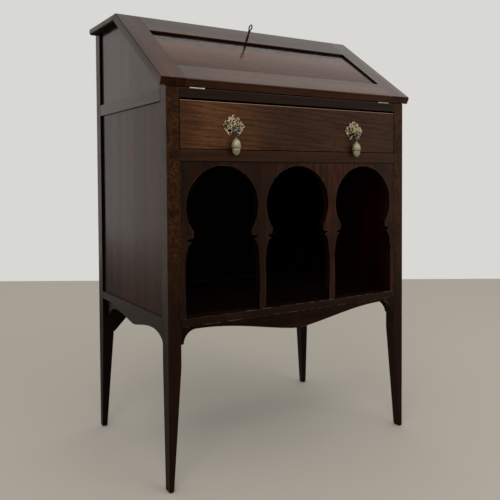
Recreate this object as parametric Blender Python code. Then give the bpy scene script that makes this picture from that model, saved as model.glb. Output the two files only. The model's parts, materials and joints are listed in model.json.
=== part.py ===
"""Slant-front writing bureau on four tapered legs.

A hinged fall closes the writing compartment, with a full-width drawer and an open cupboard below.
Units are metres. X runs to the right, Y to the back, Z up, and the floor is at Z = 0.
"""
from math import atan2, cos, degrees, pi, radians, sin, sqrt, tan

import bmesh
import bpy
from mathutils import Matrix

for item in list(bpy.data.objects):
    bpy.data.objects.remove(item)

# Carcass
carcass_width = 0.610
carcass_depth = 0.408
post_size = 0.0273
taper_height = 0.240
front_foot_width = 0.0095
front_foot_depth = 0.0195
back_foot_width = 0.012
back_foot_depth = 0.015
foot_round = 0.0025
joint_gap = 0.0003
bed_height = 0.775
bed_thickness = 0.012
mid_rail_height = 0.025
side_rail_thickness = 0.018
panel_recess = 0.005
panel_thickness = 0.010
back_panel_thickness = 0.008

# Drawer opening and cupboard
top_rail_height = 0.0185
drawer_opening_height = 0.0988
drawer_rail_height = 0.022
dust_board_thickness = 0.008
floor_height = 0.3315
bottom_rail_height = 0.016
floor_thickness = 0.012

# Shaped aprons under the bottom rails
front_apron_set_back = 0.0015
front_apron_thickness = 0.012
front_bracket_width = 0.0052
front_bracket_drop = 0.0487
front_arch_place = 0.0327
front_arch_drop = 0.0216
front_centre_drop = 0.0523
side_apron_set_back = 0.009
side_apron_thickness = 0.005
side_bracket_width = 0.0172
side_bracket_drop = 0.0595
side_arch_place = 0.0717
side_arch_drop = 0.0317
side_centre_drop = 0.0452
back_apron_thickness = 0.018
back_apron_drop = 0.0695
back_bracket_drop = 0.100

# Fret of three horseshoe arches
fret_set_back = 0.001
fret_thickness = 0.015
arch_count = 3
column_width = 0.015
end_column_width = 0.0104
arch_set_in = 0.0025
arch_crown = 0.0087
cusp_drop = 0.047
cusp_flat = 0.0115
notch_reach = 0.0148
notch_height = 0.0095
lip_set_back = 0.003
neck_length = 0.0495

# Top board and fall
board_overhang = 0.0134
top_thickness = 0.0145
top_back_lip = 0.0046
top_upper_round = 0.002
top_under_round = 0.006
slope = radians(34.65)
fall_length = 0.2961
fall_thickness = 0.0175
fall_stile_width = 0.053
fall_bottom_rail = 0.0601
fall_top_rail = 0.0723
fall_nose_outer = 0.0035
fall_nose_inner = 0.0025
fall_top_clearance = 0.0005
fall_panel_thickness = 0.0055
fall_panel_recess = 0.004
fall_panel_tongue = 0.003

# Butt hinges of the fall
hinge_reach = 0.0011
hinge_set = 0.0014
hinge_inset = 0.0212
hinge_width = 0.032
hinge_leaf_length = 0.019
hinge_leaf_thickness = 0.0012
hinge_barrel_radius = 0.0017
hinge_pin_radius = 0.0008

# Lock, bolt, keep and key of the fall
key_place = -0.016
lock_width = 0.044
lock_thickness = 0.009
lock_back_wall = 0.0014
lock_wall = 0.002
lock_web = 0.0016
bolt_width = 0.012
bolt_thickness = 0.0032
bolt_inset = 0.0018
bolt_length = 0.038
bolt_throw = 0.007
keep_width = 0.040
keep_thickness = 0.001
key_shank_radius = 0.0021
key_bit_reach = 0.0065
key_bit_height = 0.0048
key_bit_thickness = 0.0018
key_bow_centre = 0.031
key_bow_width = 0.0097
key_bow_height = 0.0165
key_wire_radius = 0.0015

# Drawer
drawer_set_back = 0.0008
drawer_side_clearance = 0.0015
drawer_top_clearance = 0.0045
drawer_under_clearance = 0.0015
drawer_front_thickness = 0.018
drawer_side_thickness = 0.009
drawer_side_drop = 0.004
drawer_back_drop = 0.008
drawer_length = 0.345
drawer_bottom_thickness = 0.005
drawer_bottom_rise = 0.008
drawer_groove = 0.004
runner_width = 0.024
guide_height = 0.016

# Pierced drop handles
handle_inset = 0.1202
handle_shift = -0.0035
handle_rise = 0.0018
plate_width = 0.050
plate_height = 0.042
plate_thickness = 0.0016
eye_drop = 0.0117
eye_radius = 0.0042
eye_wire = 0.0014
loop_wire = 0.0011
loop_play = 0.0004
loop_half_width = 0.0033
loop_half_height = 0.0046
stud_radius = 0.0019
stud_nut_radius = 0.005
stud_nut_length = 0.003
acorn_neck = 0.0075
acorn_shell = 0.0215
acorn_groove = 0.002
acorn_tip = 0.0135
acorn_radius = 0.0095
acorn_clearance = 0.0004

# Pigeonhole fitment
pigeonhole_front = 0.257
pigeonhole_height = 0.085
pigeonhole_shelf = 0.008
pigeonhole_divider = 0.006
pigeonhole_bays = 4

# Places worked out from the dimensions above
half_width = carcass_width / 2
post_inner = half_width - post_size
panel_outer = half_width - panel_recess
panel_inner = panel_outer - panel_thickness
bar_reach = acorn_radius + acorn_clearance + drawer_set_back
drawer_reach = bar_reach + acorn_radius - drawer_set_back
front = (drawer_reach - carcass_depth - top_back_lip) / 2
back = front + carcass_depth
inside_front = front + post_size
inside_back = back - post_size
back_panel_front = back - panel_recess - back_panel_thickness
arch_span = 2 * (post_inner - joint_gap - end_column_width) - (arch_count - 1) * column_width
opening_half_width = arch_span / (2 * arch_count)
arch_spacing = 2 * opening_half_width + column_width
arch_radius = opening_half_width - arch_set_in
hinge_place = post_inner - hinge_inset - hinge_width / 2
hinge_y = front - hinge_reach
hinge_z = bed_height
fall_top = hinge_set + fall_length
top_z = hinge_z + fall_top * sin(slope) + fall_thickness * cos(slope)
top_under = top_z - top_thickness
board_half_width = half_width + board_overhang
drawer_rail_top = bed_height - top_rail_height - drawer_opening_height
drawer_rail_under = drawer_rail_top - drawer_rail_height
dust_top = drawer_rail_under + dust_board_thickness
lock_below_key = key_bit_reach + joint_gap + lock_wall
key_v = fall_top - fall_top_rail + fall_panel_tongue + lock_web + lock_below_key + 2 * joint_gap
drawer_face = front + drawer_set_back
drawer_under = drawer_rail_top + drawer_under_clearance
drawer_top = bed_height - top_rail_height - drawer_top_clearance
drawer_half_width = post_inner - drawer_side_clearance
handle_place = drawer_half_width - handle_inset
handle_z = (drawer_under + drawer_top) / 2 + handle_rise
eye_z = handle_z - eye_drop
bar_z = eye_z - eye_radius

# Finishes, as base colour, roughness and metallic value
mahogany = ((0.105, 0.045, 0.026), 0.32, 0.0)
dark_mahogany = ((0.060, 0.026, 0.017), 0.40, 0.0)
inside_wood = ((0.165, 0.085, 0.045), 0.55, 0.0)
drawer_wood = ((0.300, 0.185, 0.100), 0.60, 0.0)
brass = ((0.560, 0.440, 0.230), 0.36, 1.0)
steel = ((0.200, 0.190, 0.180), 0.42, 1.0)


def add_object(name, bm, parent=None, place=(0, 0, 0)):
    """Turns a closed bmesh into an object whose faces point outward."""
    bmesh.ops.recalc_face_normals(bm, faces=bm.faces)
    mesh = bpy.data.meshes.new(name)
    bm.to_mesh(mesh)
    bm.free()
    item = bpy.data.objects.new(name, mesh)
    item.location = place
    item.parent = parent
    bpy.context.collection.objects.link(item)
    return item


def add_piece(name, bm, look, parent=None, place=(0, 0, 0)):
    """Adds one sub-part with its own finish."""
    item = add_object(name, bm, parent, place)
    colour, roughness, metallic = look
    finish = bpy.data.materials.new(name + "_finish")
    finish.use_nodes = True
    shader = finish.node_tree.nodes["Principled BSDF"]
    shader.inputs["Base Color"].default_value = (*colour, 1.0)
    shader.inputs["Roughness"].default_value = roughness
    shader.inputs["Metallic"].default_value = metallic
    item.data.materials.append(finish)
    return item


def add_axis(name, place, turn=0.0):
    """Adds the empty that a moving body hangs on, turned about X."""
    axis = bpy.data.objects.new(name, None)
    axis.location = place
    axis.rotation_euler = (turn, 0.0, 0.0)
    bpy.context.collection.objects.link(axis)
    return axis


def combine(item, bm, operation, parent=None, place=(0, 0, 0)):
    """Cuts or joins a shape to a piece, and leaves the shape as a hidden cutter."""
    name = item.name + "_" + operation.lower() + str(len(item.modifiers))
    tool = add_object(name, bm, parent, place)
    tool.hide_render = True
    tool.display_type = "WIRE"
    change = item.modifiers.new(operation.title(), "BOOLEAN")
    change.operation = operation
    change.solver = "EXACT"
    change.object = tool


def block(x_range, y_range, z_range):
    """A box between three pairs of limits."""
    bm = bmesh.new()
    bmesh.ops.create_cube(bm, size=1.0)
    spans = (x_range, y_range, z_range)
    scale = [high - low for low, high in spans]
    middle = [(high + low) / 2 for low, high in spans]
    place = Matrix.Translation(middle) @ Matrix.Diagonal((*scale, 1.0))
    bmesh.ops.transform(bm, matrix=place, verts=bm.verts)
    return bm


def prism(outline, low, high, axis):
    """An outline drawn across one axis and extruded along it."""
    bm = bmesh.new()
    if axis == "x":
        points = [(low, a, b) for a, b in outline]
        step = (high - low, 0, 0)
    elif axis == "y":
        points = [(a, low, b) for a, b in outline]
        step = (0, high - low, 0)
    else:
        points = [(a, b, low) for a, b in outline]
        step = (0, 0, high - low)
    face = bm.faces.new([bm.verts.new(point) for point in points])
    grown = bmesh.ops.extrude_face_region(bm, geom=[face], use_keep_orig=True)
    moved = [part for part in grown["geom"] if isinstance(part, bmesh.types.BMVert)]
    bmesh.ops.translate(bm, verts=moved, vec=step)
    return bm


def loft(loops):
    """A closed body through a row of loops with equal numbers of points."""
    bm = bmesh.new()
    rings = [[bm.verts.new(point) for point in loop] for loop in loops]
    for lower, upper in zip(rings, rings[1:]):
        for i in range(len(lower)):
            j = (i + 1) % len(lower)
            bm.faces.new((lower[i], lower[j], upper[j], upper[i]))
    bm.faces.new(rings[0])
    bm.faces.new(rings[-1])
    return bm


def rod(radius, start, end, axis, centre, sides=20):
    """A round bar along one axis, centred on the other two."""
    bm = bmesh.new()
    turns = {
        "x": Matrix.Rotation(pi / 2, 4, "Y"),
        "y": Matrix.Rotation(pi / 2, 4, "X"),
        "z": Matrix.Identity(4),
    }
    middle = (start + end) / 2
    places = {
        "x": (middle, centre[0], centre[1]),
        "y": (centre[0], middle, centre[1]),
        "z": (centre[0], centre[1], middle),
    }
    bmesh.ops.create_cone(
        bm, cap_ends=True, segments=sides, radius1=radius, radius2=radius, depth=end - start,
        matrix=Matrix.Translation(places[axis]) @ turns[axis])
    return bm


def ring(radius_a, radius_b, wire, axis, centre, steps=28, sides=12):
    """An oval wire ring round one axis, with its two half axes across it."""
    bm = bmesh.new()
    loops = []
    for i in range(steps):
        turn = 2 * pi * i / steps
        loop = []
        for k in range(sides):
            lean = 2 * pi * k / sides
            a = (radius_a + wire * cos(lean)) * cos(turn)
            b = (radius_b + wire * cos(lean)) * sin(turn)
            c = wire * sin(lean)
            point = (c, a, b) if axis == "x" else (a, c, b)
            loop.append(bm.verts.new([p + q for p, q in zip(point, centre)]))
        loops.append(loop)
    for i in range(steps):
        for k in range(sides):
            here, there = loops[i], loops[(i + 1) % steps]
            m = (k + 1) % sides
            bm.faces.new((here[k], here[m], there[m], there[k]))
    return bm


def turned(profile, sides=24):
    """A body turned about Z from a profile of radius and height, with both ends on the axis."""
    bm = bmesh.new()
    points = [bm.verts.new((radius, 0, height)) for radius, height in profile]
    edges = [bm.edges.new(pair) for pair in zip(points, points[1:])]
    bmesh.ops.spin(
        bm, geom=points + edges, cent=(0, 0, 0), axis=(0, 0, 1), angle=2 * pi, steps=sides, use_merge=True)
    bmesh.ops.remove_doubles(bm, verts=bm.verts, dist=0.00001)
    return bm


def gather(shapes):
    """Several separate shapes as one."""
    bm = bmesh.new()
    for shape in shapes:
        mesh = bpy.data.meshes.new("shape")
        shape.to_mesh(mesh)
        shape.free()
        bm.from_mesh(mesh)
        bpy.data.meshes.remove(mesh)
    return bm


def arc(centre, radius_a, radius_b, start, end, steps):
    """Points on an oval arc, with angles in degrees."""
    turns = [radians(start + (end - start) * i / steps) for i in range(steps + 1)]
    return [(centre[0] + radius_a * cos(t), centre[1] + radius_b * sin(t)) for t in turns]


def smooth(item):
    """Shades a round piece and what is joined to it smooth, and keeps the sharp edges."""
    for part in [item] + [change.object for change in item.modifiers]:
        part.data.shade_smooth()
        part.data.set_sharp_from_angle(angle=radians(40))


def rest_z(y):
    """Height of the sloping edges that the fall lies on."""
    return hinge_z + (y - hinge_y) * tan(slope) - joint_gap / cos(slope)


def rest_y(z):
    """Depth at which the sloping edges reach a height."""
    return hinge_y + (z + joint_gap / cos(slope) - hinge_z) / tan(slope)


def bevel_y(z):
    """Depth of the top board's bevelled front edge, square to the fall."""
    return hinge_y + (fall_top + fall_top_clearance - (z - hinge_z) * sin(slope)) / cos(slope)


def make_leg(name, side, end):
    """Square post, tapered to the foot on its two inner faces."""
    outer_y = front if end < 0 else back
    foot_width = front_foot_width if end < 0 else back_foot_width
    foot_depth = front_foot_depth if end < 0 else back_foot_depth
    face = half_width * side

    def level(width, depth, z, inset=0.0):
        near, far = face - side * inset, face - side * (width - inset)
        outside, inside = outer_y - end * inset, outer_y - end * (depth - inset)
        return [(near, outside, z), (far, outside, z), (far, inside, z), (near, inside, z)]

    loops = [
        level(foot_width, foot_depth, 0.0, foot_round),
        level(foot_width, foot_depth, foot_round * 0.3, foot_round * 0.3),
        level(foot_width, foot_depth, foot_round),
        level(post_size, post_size, taper_height),
    ]
    top = level(post_size, post_size, top_under - joint_gap)
    if end < 0:
        top = [(x, y, rest_z(y)) for x, y, z in top]
    add_piece(name, loft(loops + [top]), mahogany)


def apron_edge(half_span, bracket_width, bracket_drop, arch_place, arch_drop, centre_drop, top):
    """Right half of a shaped lower edge, from the bracket's foot to the drop in the middle."""
    shoulder = half_span - arch_place
    tip = half_span - bracket_width
    edge = [(half_span, top - bracket_drop)]
    edge += arc((shoulder, top - bracket_drop), tip - shoulder, bracket_drop - arch_drop, 0, 90, 10)
    for i in range(11, -1, -1):
        reach = shoulder * i / 12
        rise = sin(pi / 2 * i / 12) ** 1.4
        edge.append((reach, top - centre_drop + (centre_drop - arch_drop) * rise))
    return edge


def apron_outline(half_span, bracket_width, bracket_drop, arch_place, arch_drop, centre_drop, top, upper):
    """Whole outline of a shaped apron, the same on both sides of its middle."""
    half = apron_edge(half_span, bracket_width, bracket_drop, arch_place, arch_drop, centre_drop, top)
    mirrored = [(-a, b) for a, b in reversed(half[:-1])]
    return [(half_span, upper)] + half + mirrored + [(-half_span, upper)]


def make_sides():
    """Left and right side frames: panels set back between flush rails, and a shaped apron."""
    middle = (front + back) / 2
    half_span = (inside_back - inside_front) / 2 - joint_gap
    between = (inside_front + joint_gap, inside_back - joint_gap)
    mid_under = bed_height - mid_rail_height
    apron_top = floor_height - bottom_rail_height - joint_gap
    for side, word in ((-1, "left"), (1, "right")):
        panel_x = sorted((side * panel_inner, side * panel_outer))
        rail_x = sorted((side * half_width, side * (half_width - side_rail_thickness)))
        apron_outer = half_width - side_apron_set_back
        apron_x = sorted((side * apron_outer, side * (apron_outer - side_apron_thickness)))
        low = bed_height + joint_gap
        high = top_under - joint_gap
        upper = [
            (between[0], low), (between[1], low), (between[1], high), (rest_y(high), high),
            (between[0], rest_z(between[0]))]
        add_piece("side_panel_upper_" + word, prism(upper, *panel_x, "x"), mahogany)
        add_piece("side_mid_rail_" + word, block(rail_x, between, (mid_under, bed_height)), mahogany)
        lower = (floor_height + joint_gap, mid_under - joint_gap)
        add_piece("side_panel_lower_" + word, block(panel_x, between, lower), mahogany)
        add_piece("side_bottom_rail_" + word, block(
            rail_x, between, (floor_height - bottom_rail_height, floor_height)), mahogany)
        shape = apron_outline(
            half_span, side_bracket_width, side_bracket_drop, side_arch_place, side_arch_drop,
            side_centre_drop, floor_height, apron_top)
        shape = [(middle + a, b) for a, b in shape]
        add_piece("side_apron_" + word, prism(shape, *apron_x, "x"), mahogany)


def make_back():
    """Back frame: two panels between rails, and a plain apron with angled brackets."""
    inner = post_inner - joint_gap
    across = (-inner, inner)
    rail_y = (inside_back, back)
    panel_y = (back_panel_front, back - panel_recess)
    mid_under = bed_height - mid_rail_height
    add_piece("back_panel_upper", block(
        across, panel_y, (bed_height + joint_gap, top_under - joint_gap)), dark_mahogany)
    add_piece("back_mid_rail", block(across, rail_y, (mid_under, bed_height)), dark_mahogany)
    add_piece("back_panel_lower", block(
        across, panel_y, (floor_height + joint_gap, mid_under - joint_gap)), dark_mahogany)
    add_piece("back_bottom_rail", block(
        across, rail_y, (floor_height - bottom_rail_height, floor_height)), dark_mahogany)
    top = floor_height - bottom_rail_height - joint_gap
    edge = floor_height - back_apron_drop
    tip = floor_height - back_bracket_drop
    shape = [
        (inner, top), (inner, tip), (inner - (edge - tip), edge),
        (-inner + (edge - tip), edge), (-inner, tip), (-inner, top)]
    add_piece("back_apron", prism(
        shape, inside_back, inside_back + back_apron_thickness, "y"), dark_mahogany)


def make_front_rails():
    """Rails above and below the drawer, the rail over the floor's edge, and the shaped front apron."""
    inner = post_inner - joint_gap
    across = (-inner, inner)
    deep = (front, inside_front)
    top_rail = add_piece("drawer_top_rail", block(
        across, deep, (bed_height - top_rail_height, bed_height)), mahogany)
    for side in (-1, 1):
        middle = side * hinge_place
        reach = hinge_width / 2 + joint_gap
        span = (middle - reach, middle + reach)
        seat_y = (hinge_y - hinge_barrel_radius, hinge_y + hinge_leaf_length + joint_gap)
        seat_z = (hinge_z - hinge_leaf_thickness - joint_gap, hinge_z + hinge_leaf_thickness)
        combine(top_rail, block(span, seat_y, seat_z), "DIFFERENCE")
        combine(top_rail, rod(
            hinge_barrel_radius + joint_gap, *span, "x", (hinge_y, hinge_z)), "DIFFERENCE")
    add_piece("drawer_rail", block(across, deep, (drawer_rail_under, drawer_rail_top)), mahogany)
    add_piece("front_bottom_rail", block(
        across, deep, (floor_height - bottom_rail_height, floor_height)), mahogany)
    shape = apron_outline(
        inner, front_bracket_width, front_bracket_drop, front_arch_place, front_arch_drop,
        front_centre_drop, floor_height, floor_height - bottom_rail_height - joint_gap)
    face = front + front_apron_set_back
    add_piece("front_apron", prism(shape, face, face + front_apron_thickness, "y"), mahogany)


def arch_side(crown_z, sill_z):
    """Right half of one arch opening from its crown down to the sill."""
    centre_z = crown_z - arch_radius
    tip_x = sqrt(arch_radius ** 2 - cusp_drop ** 2)
    tip_angle = degrees(atan2(-cusp_drop, tip_x))
    flat_z = centre_z - cusp_drop - cusp_flat
    lower_z = flat_z - notch_height
    edge = arc((0.0, centre_z), arch_radius, arch_radius, 90, tip_angle, 16)
    edge.append((tip_x, flat_z))
    edge.append((tip_x + notch_reach, (flat_z + lower_z) / 2))
    lip_x = tip_x + lip_set_back
    edge += arc((lip_x, lower_z - neck_length), opening_half_width - lip_x, neck_length, 90, 0, 8)
    edge.append((opening_half_width, sill_z))
    return edge


def make_fret():
    """Fretted front of the cupboard: horseshoe arches on slim columns."""
    inner = post_inner - joint_gap
    low = floor_height + joint_gap
    high = drawer_rail_under - joint_gap
    side = arch_side(drawer_rail_under - arch_crown, low)
    outline = [(inner, high), (-inner, high), (-inner, low)]
    for i in range(arch_count):
        middle = (i - (arch_count - 1) / 2) * arch_spacing
        outline += [(middle - a, b) for a, b in reversed(side[1:])]
        outline += [(middle + a, b) for a, b in side]
    outline.append((inner, low))
    face = front + fret_set_back
    add_piece("fret_panel", prism(outline, face, face + fret_thickness, "y"), mahogany)


def make_boards():
    """Writing bed, cupboard ceiling, cupboard floor and the two drawer runners."""
    between = (inside_front + joint_gap, inside_back - joint_gap)
    rail_inner = half_width - side_rail_thickness - joint_gap
    panel_gap = panel_inner - joint_gap
    add_piece("writing_bed", block(
        (-rail_inner, rail_inner), between, (bed_height - bed_thickness, bed_height)), inside_wood)
    add_piece("cupboard_ceiling", block(
        (-panel_gap, panel_gap), between, (drawer_rail_under, dust_top)), inside_wood)
    add_piece("cupboard_floor", block(
        (-rail_inner, rail_inner), between, (floor_height - floor_thickness, floor_height)), dark_mahogany)
    guide_inner = post_inner
    guide_top = drawer_rail_top + guide_height
    for side, word in ((-1, "left"), (1, "right")):
        shape = [
            (panel_gap, dust_top + joint_gap), (panel_gap, guide_top), (guide_inner, guide_top),
            (guide_inner, drawer_rail_top), (panel_gap - runner_width, drawer_rail_top),
            (panel_gap - runner_width, dust_top + joint_gap)]
        shape = [(side * a, b) for a, b in shape]
        add_piece("drawer_runner_" + word, prism(shape, *between, "y"), drawer_wood)


def make_pigeonholes():
    """Shelf and dividers at the back of the writing compartment."""
    inner = panel_inner - joint_gap
    deep = (front + pigeonhole_front, inside_back - joint_gap)
    under = bed_height + pigeonhole_height
    add_piece("pigeonhole_shelf", block(
        (-inner, inner), deep, (under, under + pigeonhole_shelf)), inside_wood)
    for i in range(1, pigeonhole_bays):
        middle = -inner + 2 * inner * i / pigeonhole_bays
        span = (middle - pigeonhole_divider / 2, middle + pigeonhole_divider / 2)
        add_piece("pigeonhole_divider_" + str(i), block(
            span, deep, (bed_height + joint_gap, under - joint_gap)), inside_wood)


def make_top_board(fall_axis):
    """Top board with rounded side and back edges, bevelled in front to meet the fall."""
    steps = 4
    turns = [pi / 2 * i / steps for i in range(steps + 1)]
    levels = [(top_under + top_under_round * (1 - cos(turn)), top_under_round * (1 - sin(turn)))
              for turn in turns]
    levels += [(top_z - top_upper_round * (1 - cos(turn)), top_upper_round * (1 - sin(turn)))
               for turn in reversed(turns)]
    loops = []
    for z, inset in levels:
        reach = board_half_width - inset
        rear = back + top_back_lip - inset
        loops.append([(-reach, bevel_y(z), z), (reach, bevel_y(z), z), (reach, rear, z), (-reach, rear, z)])
    board = add_piece("top_board", loft(loops), mahogany)
    edge = fall_top + fall_top_clearance
    seat = edge + keep_thickness + joint_gap
    reach = keep_width / 2 + joint_gap
    combine(board, block(
        (key_place - reach, key_place + reach), (edge - keep_thickness, seat),
        (-joint_gap, keep_height() + joint_gap)), "DIFFERENCE", fall_axis)
    slot_x, slot_w = bolt_slot()
    combine(board, block(
        slot_x, (edge, fall_top + bolt_throw + 2 * joint_gap), slot_w), "DIFFERENCE", fall_axis)


def keep_height():
    """Height of the keep plate across the fall's thickness."""
    return 2 * bolt_inset + bolt_thickness


def bolt_slot():
    """Limits of the slot that the lock bolt slides in, across the fall and through its thickness."""
    reach = bolt_width / 2 + joint_gap
    return ((key_place - reach, key_place + reach),
            (bolt_inset - joint_gap, bolt_inset + bolt_thickness + joint_gap))


def make_keep(fall_axis):
    """Brass keep plate in the top board's bevel, with the slot that the bolt enters."""
    edge = fall_top + fall_top_clearance
    keep = add_piece("lock_keep", block(
        (key_place - keep_width / 2, key_place + keep_width / 2), (edge, edge + keep_thickness),
        (0.0, keep_height())), brass, fall_axis)
    slot_x, slot_w = bolt_slot()
    through = (edge - keep_thickness, edge + 2 * keep_thickness)
    combine(keep, block(slot_x, through, slot_w), "DIFFERENCE", fall_axis)


def fall_section(end):
    """Section through the fall's rounded lower edge, up to a distance from the hinge axis."""
    inner = fall_nose_inner
    outer = fall_nose_outer
    section = [(end, 0.0)]
    section += arc((hinge_set + inner, inner), inner, inner, 270, 180, 5)
    section += arc((hinge_set + outer, fall_thickness - outer), outer, outer, 180, 90, 4)
    section.append((end, fall_thickness))
    return section


def make_fall(fall_axis):
    """Framed fall: two stiles, two rails and a sunk panel held in grooves."""
    stile_inner = board_half_width - fall_stile_width
    rail_end = stile_inner - joint_gap
    low = hinge_set + fall_bottom_rail
    high = fall_top - fall_top_rail
    panel_back = fall_thickness - fall_panel_recess - fall_panel_thickness
    panel_face = fall_thickness - fall_panel_recess
    tongue = fall_panel_tongue
    room = tongue + joint_gap

    def groove(piece):
        combine(piece, block(
            (-stile_inner - room, stile_inner + room), (low - room, high + room),
            (panel_back - joint_gap, panel_face + joint_gap)), "DIFFERENCE", fall_axis)

    for side, word in ((-1, "left"), (1, "right")):
        span = sorted((side * stile_inner, side * board_half_width))
        stile = add_piece(
            "fall_stile_" + word, prism(fall_section(fall_top), *span, "x"), mahogany, fall_axis)
        groove(stile)
    bottom = add_piece(
        "fall_bottom_rail", prism(fall_section(low), -rail_end, rail_end, "x"), mahogany, fall_axis)
    groove(bottom)
    for side in (-1, 1):
        middle = side * hinge_place
        reach = hinge_width / 2 + joint_gap
        span = (middle - reach, middle + reach)
        combine(bottom, block(
            span, (0.0, hinge_leaf_length + joint_gap),
            (-hinge_leaf_thickness, hinge_leaf_thickness + joint_gap)), "DIFFERENCE", fall_axis)
        combine(bottom, rod(hinge_barrel_radius + joint_gap, *span, "x", (0, 0)), "DIFFERENCE", fall_axis)
    top = add_piece("fall_top_rail", block(
        (-rail_end, rail_end), (high, fall_top), (0.0, fall_thickness)), mahogany, fall_axis)
    groove(top)
    reach = lock_width / 2 + joint_gap
    combine(top, block(
        (key_place - reach, key_place + reach),
        (key_v - lock_below_key - joint_gap, fall_top + lock_thickness),
        (-lock_thickness, lock_thickness + joint_gap)), "DIFFERENCE", fall_axis)
    through = (lock_thickness - joint_gap, fall_thickness + lock_thickness)
    combine(top, rod(
        key_shank_radius + joint_gap, *through, "z", (key_place, key_v)), "DIFFERENCE", fall_axis)
    slit = key_bit_thickness / 2 + joint_gap
    combine(top, block(
        (key_place - slit, key_place + slit), (key_v - key_bit_reach - joint_gap, key_v), through),
        "DIFFERENCE", fall_axis)
    add_piece("fall_panel", block(
        (-stile_inner - tongue, stile_inner + tongue), (low - tongue, high + tongue),
        (panel_back, panel_face)), mahogany, fall_axis)


def hinge_plate(middle, length, tongues):
    """Plan of a hinge leaf, with a tongue to each of its knuckles."""
    half = hinge_width / 2
    third = hinge_width / 6
    clear = hinge_barrel_radius + joint_gap
    inside = third + joint_gap / 2 if tongues == 2 else third - joint_gap / 2
    if tongues == 2:
        outer_edge, inner_edge = 0.0, clear
    else:
        outer_edge, inner_edge = clear, 0.0
    near = [
        (-half, outer_edge), (-inside, outer_edge), (-inside, inner_edge),
        (inside, inner_edge), (inside, outer_edge), (half, outer_edge)]
    return [(middle + a, b) for a, b in near + [(half, length), (-half, length)]]


def make_hinges(fall_axis, hinge_line):
    """Two brass butt hinges: a leaf on the carcass, a leaf on the fall, and a pin each."""
    third = hinge_width / 6
    half = hinge_width / 2
    inner = third - joint_gap / 2
    outer = third + joint_gap / 2
    bore = hinge_pin_radius + joint_gap
    for side, word in ((-1, "left"), (1, "right")):
        middle = side * hinge_place
        plan = hinge_plate(middle, hinge_leaf_length, 2)
        leaf = add_piece(
            "hinge_leaf_bed_" + word, prism(plan, -hinge_leaf_thickness, 0.0, "z"), brass, hinge_line)
        for span in ((-half, -outer), (outer, half)):
            combine(leaf, rod(
                hinge_barrel_radius, middle + span[0], middle + span[1], "x", (0, 0)), "UNION", hinge_line)
        through = (middle - hinge_width, middle + hinge_width)
        combine(leaf, rod(bore, *through, "x", (0, 0)), "DIFFERENCE", hinge_line)
        plan = hinge_plate(middle, hinge_leaf_length, 1)
        leaf = add_piece(
            "hinge_leaf_fall_" + word, prism(plan, 0.0, hinge_leaf_thickness, "z"), brass, fall_axis)
        combine(leaf, rod(
            hinge_barrel_radius, middle - inner, middle + inner, "x", (0, 0)), "UNION", fall_axis)
        combine(leaf, rod(bore, *through, "x", (0, 0)), "DIFFERENCE", fall_axis)
        pin = add_piece("hinge_pin_" + word, rod(
            hinge_pin_radius, middle - half, middle + half, "x", (0, 0)), brass, hinge_line)
        smooth(pin)


def make_lock(fall_axis):
    """Lock case let into the fall's inner face, its bolt, and the key standing in it."""
    span = (key_place - lock_width / 2, key_place + lock_width / 2)
    case = add_piece("lock_case", block(
        span, (key_v - lock_below_key, fall_top), (0.0, lock_thickness)), brass, fall_axis)
    well = key_bit_reach + joint_gap
    combine(case, rod(
        well, lock_back_wall, 2 * lock_thickness, "z", (key_place, key_v), 28), "DIFFERENCE", fall_axis)
    slot_x, slot_w = bolt_slot()
    tail = fall_top - bolt_length - joint_gap
    combine(case, block(slot_x, (tail, fall_top + bolt_length), slot_w), "DIFFERENCE", fall_axis)
    add_piece("lock_bolt", block(
        (key_place - bolt_width / 2, key_place + bolt_width / 2), (fall_top - bolt_length, fall_top),
        (bolt_inset, bolt_inset + bolt_thickness)), steel, fall_axis)
    bit_low = lock_back_wall + 2 * joint_gap
    bow_z = fall_thickness + key_bow_centre
    wire = key_wire_radius
    half_high = key_bow_height / 2 - wire
    place = (key_place, key_v, 0)
    key = add_piece("key", rod(
        key_shank_radius, bit_low, bow_z - half_high, "z", (0, 0)), steel, fall_axis, place)
    combine(key, ring(
        key_bow_width / 2 - wire, half_high, wire, "y", (0, 0, bow_z)), "UNION", fall_axis, place)
    half_bit = key_bit_thickness / 2
    combine(key, block(
        (-half_bit, half_bit), (-key_bit_reach, 0.0), (bit_low, bit_low + key_bit_height)),
        "UNION", fall_axis, place)
    smooth(key)


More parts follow.
